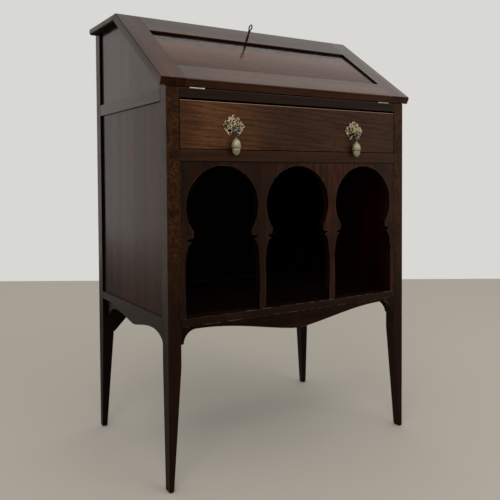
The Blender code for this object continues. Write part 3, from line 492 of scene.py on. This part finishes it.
def welded_copy(name):
    """The mesh of a CAD piece, welded, to be shaped further."""
    bm = bmesh.new()
    bm.from_mesh(frame["nodes"][name].data)
    bmesh.ops.remove_doubles(bm, verts=bm.verts, dist=weld_reach)
    return bm


def add_piece(name, bm, finish, body):
    """Makes a piece of a mesh and fixes it to a body."""
    mesh = bpy.data.meshes.new(name)
    bm.to_mesh(mesh)
    bm.free()
    mesh.materials.append(finish)
    piece = bpy.data.objects.new(name, mesh)
    bpy.context.scene.collection.objects.link(piece)
    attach(piece, body)
    return piece


def round_outer_arris(name, wood, radius):
    """A copy of a stile with the arris of its outer edge and face rounded over."""
    low, high = fall_box(name)
    outer_edge = max(-low.x, high.x) - 0.0001
    face_side = 0.3 * high.z
    bm = welded_copy(name)
    bmesh.ops.dissolve_limit(bm, angle_limit=radians(1), verts=bm.verts, edges=bm.edges)
    outer = {v for v in bm.verts if abs(v.co.x) > outer_edge and (to_fall @ v.co).z > face_side}
    arris = [e for e in bm.edges if e.verts[0] in outer and e.verts[1] in outer]
    bmesh.ops.bevel(bm, geom=arris, offset=radius, segments=4, profile=0.5, affect="EDGES",
                    clamp_overlap=True)
    piece = add_piece(name + "_rounded", bm, wood, "fall")
    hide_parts(name)
    piece.data.shade_smooth()
    ease(piece, fall_edge)
    flat = piece.modifiers.new("Flat", "WEIGHTED_NORMAL")
    flat.weight = 100


def cup(finish, seat, middle, bend):
    """Bends the sheen of a board that has cupped a little, about a line across its middle."""
    tree = finish.node_tree
    normal = shader_of(finish).inputs["Normal"]
    place = put(tree, "ShaderNodeTexCoord", {}).outputs["Object"]
    local = put(tree, "ShaderNodeMapping", {
        "Vector": place, "Location": seat.to_translation(), "Rotation": seat.to_euler()},
        vector_type="TEXTURE").outputs[0]
    place_up = put(tree, "ShaderNodeSeparateXYZ", {"Vector": local}).outputs[ALONG_Y]
    off_middle = sums(tree, "SUBTRACT", place_up, middle)
    crown = times(tree, times(tree, off_middle, off_middle), -bend)
    grain = normal.links[0].from_socket
    bump = put(tree, "ShaderNodeBump", {"Height": crown, "Strength": 1.0, "Distance": 1.0, "Normal": grain})
    tree.links.new(bump.outputs["Normal"], normal)


STILE_DARK = (0.012, 0.0038, 0.0017)
STILE_MIDDLE = (0.076, 0.025, 0.0108)
STILE_TOP_TINT = (0.70, 0.74, 0.76)
STILE_FOOT_TINT = (1.45, 1.40, 1.30)
STILE_ROUND_SHADE = (0.20, 0.18, 0.17)
STILE_EDGE_SHEEN = (3.6, 8.0, 15.0)
stile_round = 0.0026
stile_top_span = (0.86, 0.93)
stile_foot_span = (0.83, 0.79)
off_the_face = (0.79, 0.70)
edge_from, edge_to = 0.45, 0.85
inner_face = (-0.4, -0.7)
for side, word, shift, shine in ((-1, "left", 14.2, 0.12), (1, "right", 15.1, 0.32)):
    wood = polished_wood("fall_stile_wood_" + word, ALONG_Y, STILE_DARK, STILE_MIDDLE, BROWN_LIGHT,
                         (shift, 0.2, 0.8), lean=slope, mottle=0.15, gloss=fall_gloss, figure=0.4,
                         shine=shine)
    plain = colour_of(wood)
    shade(wood, "Object", ALONG_Z, stile_top_span, STILE_TOP_TINT)
    shade(wood, "Object", ALONG_Z, stile_foot_span, STILE_FOOT_TINT)
    # Painted shade on the rounded arris and on the faces off the face of the fall
    shade(wood, "Normal", ALONG_Z, off_the_face, STILE_ROUND_SHADE)
    # A painted grey sheen on the outer edge face, standing in for the room's reflection there
    shade(wood, "Normal", ALONG_X, (side * edge_from, side * edge_to), STILE_EDGE_SHEEN)
    shade(wood, "Normal", ALONG_Z, inner_face, plain, "MIX")
    round_outer_arris("fall_stile_" + word, wood, stile_round)

fall_top_wood = polished_wood("fall_top_rail_wood", ALONG_X, BROWN_DARK, BROWN_MIDDLE, BROWN_LIGHT,
                              (16.2, 0.9, 0.1), lean=slope, mottle=0.25, gloss=fall_gloss, shine=0.18)
dress(fall_top_wood, fall_edge, "fall_top_rail")

LOW_RAIL_DARK = (0.038, 0.0142, 0.0070)
LOW_RAIL_MIDDLE = (0.096, 0.037, 0.019)
LOW_RAIL_WORN = (0.30, 0.22, 0.16)
LOW_RAIL_END_TINT = (0.62, 0.64, 0.64)
LOW_RAIL_ROUND_SHADE = (0.48, 0.42, 0.42)
LOW_RAIL_STEP_HIGHLIGHT = (0.55, 0.44, 0.37)
low_rail_end_span = (-0.13, -0.25)
rounded_edge = (0.55, 0.1)
step_face = (0.0, 0.2)
inner_step = (0.70, 0.80)
fall_low_wood = polished_wood("fall_bottom_rail_wood", ALONG_X, LOW_RAIL_DARK, LOW_RAIL_MIDDLE, BROWN_LIGHT,
                              (16.8, 0.4, 0.7), lean=slope, mottle=0.1, gloss=fall_gloss,
                              worn=LOW_RAIL_WORN, wear=0.8, shine=0.26)
plain = colour_of(fall_low_wood)
shade(fall_low_wood, "Object", ALONG_X, low_rail_end_span, LOW_RAIL_END_TINT)
# Painted shade on the rounded lower edge, which turns down and away from the light
shade(fall_low_wood, "Normal", ALONG_Z, rounded_edge, LOW_RAIL_ROUND_SHADE)
# A painted highlight on the arris next to the sunk panel
shade(fall_low_wood, "Normal", ALONG_Y, step_face, LOW_RAIL_STEP_HIGHLIGHT, "MIX")
shade(fall_low_wood, "Normal", ALONG_Z, inner_face, plain, "MIX")
shade(fall_low_wood, "Normal", ALONG_Y, inner_step, plain, "MIX")
dress(fall_low_wood, fall_edge, "fall_bottom_rail")

FALL_PANEL_DARK = (0.036, 0.010, 0.0040)
FALL_PANEL_MIDDLE = (0.100, 0.032, 0.0130)
FALL_PANEL_FOOT_SHADE = (0.62, 0.58, 0.56)
FALL_PANEL_HEAD_SHADE = (0.10, 0.09, 0.10)
FALL_PANEL_END_SHADE = (0.25, 0.20, 0.22)
fall_foot_shade_span = (0.87, 0.81)
fall_head_shade_span = (0.8945, 0.8990)
panel_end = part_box("fall_stile_right")[0].x
fall_end_shade_span = (panel_end - 0.0154, panel_end - 0.0054)
panel_low, panel_high = fall_box("fall_panel")
panel_middle = (panel_low.y + panel_high.y) / 2
panel_bend = 0.5
fall_boards = polished_wood("fall_panel_wood", ALONG_X, FALL_PANEL_DARK, FALL_PANEL_MIDDLE, BROWN_LIGHT,
                            (17.5, 0.3, 0.6), lean=slope, mottle=0.3, gloss=(0.07, 0.14), figure=0.35,
                            shine=0.2)
# Painted shade, darker towards the foot of the panel
shade(fall_boards, "Object", ALONG_Z, fall_foot_shade_span, FALL_PANEL_FOOT_SHADE)
# Painted shade in a band under the top rail
shade(fall_boards, "Object", ALONG_Z, fall_head_shade_span, FALL_PANEL_HEAD_SHADE)
# Painted shade along the right end of the panel
shade(fall_boards, "Object", ALONG_X, fall_end_shade_span, FALL_PANEL_END_SHADE)
cup(fall_boards, fall_frame, panel_middle, panel_bend)
dress(fall_boards, panel_edge, "fall_panel")

# Hinges. Two brass butt hinges, a leaf let into the bed's front edge and a leaf into the fall, each held
# by three slotted screws. The knuckles stand out at the lower edge, rubbed bright.
BRASS_GRIME = (0.020, 0.013, 0.006)
plate_sink = 0.0001
screw_rise = 0.00015
slot_share = 0.16
moon_steps = 10


def aged_brass(name, bright, brown, gloss, shadow=0.8, patch=(0.40, 0.66)):
    """Cast brass, polished on the high places and brown in the hollows."""
    finish, tree, place = start_finish(name)
    shader = shader_of(finish)
    film = noise(tree, place, 180.0, 4.0, 0.6)
    grains = noise(tree, place, 1400.0, 2.0)
    colour = blend(tree, spread(tree, film, patch), bright, brown)
    colour = blend(tree, times(tree, edge_mask(tree, 0.0008), 0.6), colour, bright)
    colour = blend(tree, times(tree, corner_mask(tree, 0.003), shadow), colour, BRASS_GRIME)
    tree.links.new(colour, shader.inputs["Base Color"])
    tree.links.new(spread(tree, film, (0.35, 0.70), *gloss), shader.inputs["Roughness"])
    shader.inputs["Metallic"].default_value = 1.0
    bump = put(tree, "ShaderNodeBump", {"Height": grains, "Strength": 0.25, "Distance": 0.0002})
    tree.links.new(bump.outputs["Normal"], shader.inputs["Normal"])
    return finish


def raise_plate(bm, outline, height, seat):
    """Adds a thin flat shape to a mesh: an outline drawn on a seat, raised by a height."""
    low = [bm.verts.new(seat @ Vector((x, y, -plate_sink))) for x, y in outline]
    high = [bm.verts.new(seat @ Vector((x, y, height))) for x, y in outline]
    bm.faces.new(low[::-1])
    bm.faces.new(high)
    for i in range(len(outline)):
        bm.faces.new((low[i - 1], low[i], high[i], high[i - 1]))


def screw_heads(name, body, finish, seats, radius, turns):
    """Slotted screw heads, each two half rounds with the slot between them."""
    bm = bmesh.new()
    low = asin(slot_share)
    arc = [low + (pi - 2 * low) * i / moon_steps for i in range(moon_steps + 1)]
    moon = [(radius * cos(a), radius * sin(a)) for a in arc]
    for seat, turn in zip(seats, turns):
        for flip in (0.0, pi):
            raise_plate(bm, moon, screw_rise, seat @ Matrix.Rotation(turn + flip, 4, "Z"))
    add_piece(name, bm, finish, body)


BRASS_BRIGHT = (0.62, 0.52, 0.34)
BRASS_BROWN = (0.30, 0.23, 0.12)
HINGE_BRIGHT = (0.52, 0.47, 0.41)
HINGE_BROWN = (0.34, 0.29, 0.22)
brass_edge = 0.0002
hinge_screw_radius = 0.0021
hinge_screws = ((-0.011, 0.0125), (0.0, 0.0085), (0.011, 0.0125))
screw_turns = (0.4, 1.9, 2.7, 1.1, 0.1, 2.2)
face_in = Matrix.Rotation(pi, 4, "X")
hinge_brass = aged_brass("hinge_brass", HINGE_BRIGHT, HINGE_BROWN, (0.24, 0.40), 0.3)
screw_brass = aged_brass("screw_brass", BRASS_BRIGHT, BRASS_BROWN, (0.28, 0.46), 0.9)
for word in ("left", "right"):
    dress(hinge_brass, brass_edge, "hinge_leaf_bed_" + word, "hinge_leaf_fall_" + word, "hinge_pin_" + word)
    pin_low, pin_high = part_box("hinge_pin_" + word)
    middle = (pin_low.x + pin_high.x) / 2
    row = [Matrix.Translation((middle + x, y, 0.0)) for x, y in hinge_screws]
    screw_heads("hinge_screws_bed_" + word, "carcass", screw_brass,
                [hinge_line @ spot for spot in row], hinge_screw_radius, screw_turns)
    screw_heads("hinge_screws_fall_" + word, "fall", screw_brass,
                [fall_frame @ spot @ face_in for spot in row], hinge_screw_radius, screw_turns[::-1])

# Lock and key. A brass lock case let into the back of the fall's top rail, a steel bolt that shoots up
# into a brass keep in the top board, and a small steel key with an oval bow, a collar under it and a barrel
# at its foot. Case and keep are screwed on.
STEEL_BRIGHT = (0.11, 0.100, 0.092)
STEEL_BLACK = (0.032, 0.029, 0.026)


def worn_steel(name, bright, black):
    """Forged steel, darkened by age and rubbed where it is handled."""
    finish, tree, place = start_finish(name)
    shader = shader_of(finish)
    film = noise(tree, place, 260.0, 4.0, 0.65)
    colour = blend(tree, spread(tree, film, (0.40, 0.65)), black, bright)
    colour = blend(tree, times(tree, edge_mask(tree, 0.0006), 0.5), colour, bright)
    tree.links.new(colour, shader.inputs["Base Color"])
    tree.links.new(spread(tree, film, (0.35, 0.70), 0.50, 0.30), shader.inputs["Roughness"])
    shader.inputs["Metallic"].default_value = 1.0
    bump = put(tree, "ShaderNodeBump", {"Height": film, "Strength": 0.2, "Distance": 0.0002})
    tree.links.new(bump.outputs["Normal"], shader.inputs["Normal"])
    return finish


lock_brass = aged_brass("lock_brass", BRASS_BRIGHT, BRASS_BROWN, (0.28, 0.50))
lock_steel = worn_steel("lock_steel", STEEL_BRIGHT, STEEL_BLACK)
dress(lock_brass, brass_edge, "lock_case", "lock_keep")
dress(lock_steel, brass_edge, "lock_bolt", "key")

# Barrel and collar of the key: where each starts and ends along the shank, and its radius
key_barrel = (0.0182, 0.0285, 0.0028)
key_collar = (0.0378, 0.0402, 0.0031)
collar_sides = 20
key_spot = to_fall @ Vector(joints["key_turn"]["pos_m"])
bm = bmesh.new()
for low, high, radius in (key_barrel, key_collar):
    seat = fall_frame @ Matrix.Translation((key_spot.x, key_spot.y, (low + high) / 2))
    bmesh.ops.create_cone(bm, cap_ends=True, segments=collar_sides, radius1=radius, radius2=radius,
                          depth=high - low, matrix=seat)
add_piece("key_collars", bm, lock_steel, "key")

# Screws at the corners of the case, and in the ends of the keep
case_screw_radius = 0.0022
case_screw_inset = 0.005
case_screw_drop = 0.006
case_low, case_high = fall_box("lock_case")
corners = [(x, v) for x in (case_low.x + case_screw_inset, case_high.x - case_screw_inset)
           for v in (case_low.y + case_screw_inset, case_high.y - case_screw_drop)]
screw_heads("lock_case_screws", "fall", screw_brass,
            [fall_frame @ Matrix.Translation((x, v, 0.0)) @ face_in for x, v in corners],
            case_screw_radius, screw_turns)
keep_screw_radius = 0.0018
keep_screw_reach = 0.013
keep_low, keep_high = fall_box("lock_keep")
keep_middle = (keep_low + keep_high) / 2
face_down = Matrix.Rotation(pi / 2, 4, "X")
screw_heads("lock_keep_screws", "carcass", screw_brass,
            [fall_frame @ Matrix.Translation((keep_middle.x + x, keep_low.y, keep_middle.z)) @ face_down
             for x in (-keep_screw_reach, keep_screw_reach)], keep_screw_radius, screw_turns)

# Drawer. A thick mahogany front with its grain across, its top arris painted pale, as rubbed wear and
# as a painted highlight, and its colour lighter and warmer towards the left end, darker at the very end
# and a little darker in the middle. The thin lining sides are dovetailed into it, with a lining back and
# bottom.
DRAWER_DARK = (0.0150, 0.0056, 0.0027)
DRAWER_MIDDLE = (0.0450, 0.0180, 0.0082)
DRAWER_LIGHT = (0.0900, 0.0400, 0.0180)
DRAWER_ARRIS_RUB_AND_HIGHLIGHT = (0.30, 0.215, 0.15)
drawer_tints = (((-0.11, -0.05), (0.84, 0.80, 0.80)), ((-0.01, 0.05), (1.16, 1.22, 1.22)),
                ((-0.06, -0.16), (2.25, 2.15, 1.85)), ((-0.225, -0.265), (0.60, 0.52, 0.48)))
drawer_edge = 0.0006
front_low, front_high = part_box("drawer_front")
arris_span = (front_high.z - 0.0012, front_high.z - 0.0006)
drawer_wood = polished_wood("drawer_front_wood", ALONG_X, DRAWER_DARK, DRAWER_MIDDLE, DRAWER_LIGHT,
                            (18.4, 0.7, 0.2), reach=13.0, figure=0.0, dirt_and_shade=0.3, contrast=1.1, size=0.2)
for span, tint in drawer_tints:
    shade(drawer_wood, "Object", ALONG_X, span, tint)
# Top arris painted pale: rubbed wear and painted highlight
shade(drawer_wood, "Object", ALONG_Z, arris_span, DRAWER_ARRIS_RUB_AND_HIGHLIGHT, "MIX")
dress(drawer_wood, drawer_edge, "drawer_front")
lining_sides = polished_wood("drawer_side_wood", ALONG_Y, LINING_DARK, LINING_MIDDLE, LINING_LIGHT,
                             (0.6, 19.3, 0.4), gloss=unpolished, wear=0.15)
lining_across = polished_wood("drawer_back_wood", ALONG_X, LINING_DARK, LINING_MIDDLE, LINING_LIGHT,
                              (20.1, 0.2, 0.5), gloss=unpolished, wear=0.15)
dress(lining_sides, rail_edge, "drawer_side_left", "drawer_side_right")
dress(lining_across, rail_edge, "drawer_back", "drawer_bottom")

# Dovetails, which show as thin plates on the ends of the front
inlay_rise = 0.00012
tail_count = 3
tail_lap = 0.0055
tails_low = front_low.z + 0.0003
tail_pitch = (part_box("drawer_side_left")[1].z - tails_low) / tail_count
tail_wide, tail_narrow = 0.40 * tail_pitch, 0.30 * tail_pitch
for side, word in ((-1, "left"), (1, "right")):
    bm = bmesh.new()
    seat = Matrix(((0, 0, side, side * front_high.x), (side, 0, 0, 0), (0, 1, 0, 0), (0, 0, 0, 1)))
    tip, root = side * (front_low.y + tail_lap), side * front_high.y
    for i in range(tail_count):
        middle = tails_low + tail_pitch * (i + 0.5)
        tail = [(tip, middle - tail_wide), (tip, middle + tail_wide),
                (root, middle + tail_narrow), (root, middle - tail_narrow)]
        raise_plate(bm, tail[::-side], inlay_rise, seat)
    add_piece("drawer_dovetails_" + word, bm, lining_sides, "drawer")

# Handles. A pierced brass plate on the drawer front with raised rims round its edge and piercings, a stud
# with a ring eye through it, and an acorn drop that swings in the eye. Cast, polished on the high places.
PLATE_BRIGHT = (0.46, 0.36, 0.19)
PLATE_BROWN = (0.035, 0.024, 0.010)
RIM_BRIGHT = (0.85, 0.74, 0.56)
RIM_BROWN = (0.14, 0.105, 0.055)
STUD_BRIGHT = (0.13, 0.13, 0.10)
STUD_BROWN = (0.035, 0.038, 0.030)
DROP_BRIGHT = (0.40, 0.345, 0.235)
DROP_BROWN = (0.20, 0.155, 0.08)
EYE_TINT = (0.22, 0.23, 0.20)
drop_metal_share = 0.55
plate_brass = aged_brass("plate_brass", PLATE_BRIGHT, PLATE_BROWN, (0.30, 0.48), 0.95, patch=(0.44, 0.56))
rim_brass = aged_brass("rim_brass", RIM_BRIGHT, RIM_BROWN, (0.22, 0.40), 0.7, patch=(0.44, 0.58))
stud_brass = aged_brass("stud_brass", STUD_BRIGHT, STUD_BROWN, (0.30, 0.50), 0.9)
drop_brass = aged_brass("drop_brass", DROP_BRIGHT, DROP_BROWN, (0.46, 0.62), 0.85)
shader_of(drop_brass).inputs["Metallic"].default_value = drop_metal_share

# Wax and painted shadow behind the plate, wire of the rims, and form of the acorn below its eye
wax_shadow_inset = 0.0014
rim_inset, rim_gap, rim_wire = 0.0006, 0.0004, 0.00045
acorn_top, acorn_waist = 0.0075, 0.0290
acorn_shell = 0.0175
acorn_radius = 0.0095
shell_power, shell_limit = 3.2, 0.99
groove_low, groove_high, groove_share = -0.08, -0.02, 0.90

# Outline of a plate as overlapping rounds, and its piercings as ovals
across, up = 0.025, 0.021
plate_steps, ring_steps = 140, 20
lobes = [(0.0, 0.0, 0.55 * up), (0.0, 0.78 * up, 0.21 * up)]
holes = [(0.0, 0.48 * up, 0.080 * across, 0.125 * up)]
for side in (-1, 1):
    lobes += [(side * a * across, b * up, r * up) for a, b, r in (
        (0.20, 0.55, 0.21), (0.36, 0.60, 0.19), (0.48, 0.33, 0.14), (0.68, 0.21, 0.20), (0.85, -0.07, 0.18),
        (0.64, -0.21, 0.19), (0.70, -0.40, 0.17), (0.50, -0.55, 0.24), (0.40, -0.79, 0.20))]
    holes += [(side * x * across, z * up, a * across, b * up) for x, z, a, b in (
        (0.32, 0.39, 0.084, 0.100), (0.34, -0.11, 0.104, 0.095), (0.63, 0.04, 0.068, 0.062),
        (0.40, -0.52, 0.184, 0.152))]
plate_low, plate_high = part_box("handle_plate_left")
plate_middle = plate_high.z - max(z + r for x, z, r in lobes)


def plate_edge(inset):
    """Points round the pierced plate, a little inside its edge."""
    points = []
    for i in range(plate_steps):
        turn = 2 * pi * i / plate_steps
        reach = 0.0
        for x, z, r in lobes:
            ahead = x * cos(turn) + z * sin(turn)
            room = (r - inset) ** 2 - (x * x + z * z - ahead * ahead)
            if room > 0:
                reach = max(reach, ahead + sqrt(room))
        points.append((reach * cos(turn), reach * sin(turn)))
    return points


def oval(x, z, a, b):
    """Points round a piercing."""
    turns = [2 * pi * i / ring_steps for i in range(ring_steps)]
    return [(x + a * cos(turn), z + b * sin(turn)) for turn in turns]


def rims(name, middle, lines, wire):
    """Raised rims on a plate, drawn as closed wires."""
    data = bpy.data.curves.new(name, "CURVE")
    data.dimensions = "3D"
    data.bevel_depth = wire
    data.bevel_resolution = 2
    for line in lines:
        spline = data.splines.new("POLY")
        spline.points.add(len(line) - 1)
        for point, (x, z) in zip(spline.points, line):
            point.co = (middle + x, plate_low.y, plate_middle + z, 1.0)
        spline.use_cyclic_u = True
    data.materials.append(rim_brass)
    piece = bpy.data.objects.new(name, data)
    bpy.context.scene.collection.objects.link(piece)
    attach(piece, "drawer")


def wax_and_shadow_behind(name, middle, finish):
    """Old wax gathered behind a plate, a dark sheet of painted shadow that shows black in its piercings."""
    bm = bmesh.new()
    seat = Matrix(((1, 0, 0, middle), (0, 0, -1, front_low.y), (0, 1, 0, plate_middle), (0, 0, 0, 1)))
    raise_plate(bm, plate_edge(wax_shadow_inset), inlay_rise, seat)
    add_piece(name, bm, finish, "drawer")


def blunt_acorn(name, axis, finish):
    """A copy of a drop with a blunter shell and a deeper groove under it."""
    bm = welded_copy(name)
    for v in bm.verts:
        away = v.co - axis
        radius = sqrt(away.x ** 2 + away.y ** 2)
        rise = (away.z + acorn_waist) / (acorn_waist - acorn_top)
        if 0.0 < rise < shell_limit:
            change = acorn_radius * sqrt(1.0 - rise ** shell_power) / radius
            v.co.z = axis.z - acorn_waist + rise * acorn_shell
        elif groove_low < rise < groove_high:
            change = groove_share
        else:
            continue
        v.co.x = axis.x + away.x * change
        v.co.y = axis.y + away.y * change
    piece = add_piece(name + "_cast", bm, finish, name)
    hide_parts(name)
    piece.data.shade_smooth()
    ease(piece, brass_edge)


WAX_SHADOW_DARK = (0.0015, 0.0007, 0.0003)
WAX_SHADOW_MIDDLE = (0.0040, 0.0018, 0.0008)
WAX_SHADOW_LIGHT = (0.0080, 0.0040, 0.0018)
shell_top = joints["drop_left_swing"]["pos_m"][2] - acorn_waist + acorn_shell
eye_span = (shell_top, shell_top + 0.0020)
shade(drop_brass, "Object", ALONG_Z, eye_span, EYE_TINT)
wax_and_shadow = polished_wood("wax_and_shadow", ALONG_X, WAX_SHADOW_DARK, WAX_SHADOW_MIDDLE, WAX_SHADOW_LIGHT, (21.0, 0.3, 0.8),
                        gloss=unpolished, shine=0.15)
for word in ("left", "right"):
    axis = Vector(joints["drop_%s_swing" % word]["pos_m"])
    # A dark sheet behind the plate: old wax, and painted shadow in the piercings
    wax_and_shadow_behind("handle_wax_shadow_" + word, axis.x, wax_and_shadow)
    dress(plate_brass, brass_edge, "handle_plate_" + word)
    dress(stud_brass, brass_edge, "handle_stud_" + word)
    blunt_acorn("handle_drop_" + word, axis, drop_brass)
    rings = [oval(x, z, a + rim_gap, b + rim_gap) for x, z, a, b in holes]
    rims("handle_rims_" + word, axis.x, [plate_edge(rim_inset)] + rings, rim_wire)

# Floor. A plain pale board on which the bureau stands, wide enough to fill the picture.
# It is turned with the camera, so that its far edge lies level.
FLOOR = (0.475, 0.436, 0.380)
floor_reach, floor_far = 6.0, 2.18
floor_roughness, floor_shine = 0.7, 0.2
camera_yaw = radians(32.666)
floor_outline = ((-floor_reach, -floor_reach), (floor_reach, -floor_reach),
                 (floor_reach, floor_far), (-floor_reach, floor_far))
floor_mesh = bpy.data.meshes.new("floor")
floor_mesh.from_pydata([(x, y, 0.0) for x, y in floor_outline], [], [range(len(floor_outline))])
floor = bpy.data.objects.new("floor", floor_mesh)
floor.rotation_euler = (0.0, 0.0, -camera_yaw)
bpy.context.scene.collection.objects.link(floor)
floor_finish = bpy.data.materials.new("floor")
floor_finish.use_nodes = True
floor_shader = shader_of(floor_finish)
floor_shader.inputs["Base Color"].default_value = rgba(FLOOR)
floor_shader.inputs["Roughness"].default_value = floor_roughness
floor_shader.inputs["Specular IOR Level"].default_value = floor_shine
floor_mesh.materials.append(floor_finish)

# Light. A pale even room all round, and three soft square lamps: high in front, high on the left,
# and wide overhead. Each has its place, the point it is aimed at, its size and its power.
WALL = (0.69, 0.685, 0.66)
world = bpy.data.worlds.new("room")
world.use_nodes = True
world.node_tree.nodes["Background"].inputs["Color"].default_value = rgba(WALL)
bpy.context.scene.world = world
for name, place, aim, size, power in (
        ("front_softbox", (0.6, -2.3, 2.4), (0.0, -0.1, 0.6), 1.6, 14.0),
        ("left_softbox", (-1.5, -2.0, 2.3), (-0.2, -0.4, 0.0), 1.4, 22.0),
        ("overhead_softbox", (0.9, 0.6, 2.7), (0.0, 0.0, 0.9), 2.4, 4.0)):
    lamp_data = bpy.data.lights.new(name, "AREA")
    lamp_data.shape = "SQUARE"
    lamp_data.size = size
    lamp_data.energy = power
    lamp = bpy.data.objects.new(name, lamp_data)
    lamp.location = place
    lamp.rotation_euler = (Vector(aim) - Vector(place)).to_track_quat("-Z", "Y").to_euler()
    bpy.context.scene.collection.objects.link(lamp)
bpy.context.scene.view_settings.view_transform = "Standard"

# Camera. It stands to the left of the bureau at the height of the cupboard, and looks nearly level.
# Its place, turn and lens are those of the photo, found from the straight edges of the carcass.
camera_place = (-0.79401, -1.30106, 0.60478)
camera_pitch = radians(-1.862)
camera_roll = radians(-0.295)
camera_data = bpy.data.cameras.new("camera")
camera_data.sensor_width = 36.0
camera_data.lens = 45.77
camera_data.shift_x = -0.0301
camera_data.shift_y = -0.1056
camera_data.clip_start = 0.05
camera = bpy.data.objects.new("camera", camera_data)
camera.matrix_world = (Matrix.Translation(camera_place) @ Matrix.Rotation(-camera_yaw, 4, "Z")
                       @ Matrix.Rotation(pi / 2 + camera_pitch, 4, "X")
                       @ Matrix.Rotation(camera_roll, 4, "Z"))
bpy.context.scene.collection.objects.link(camera)
bpy.context.scene.camera = camera
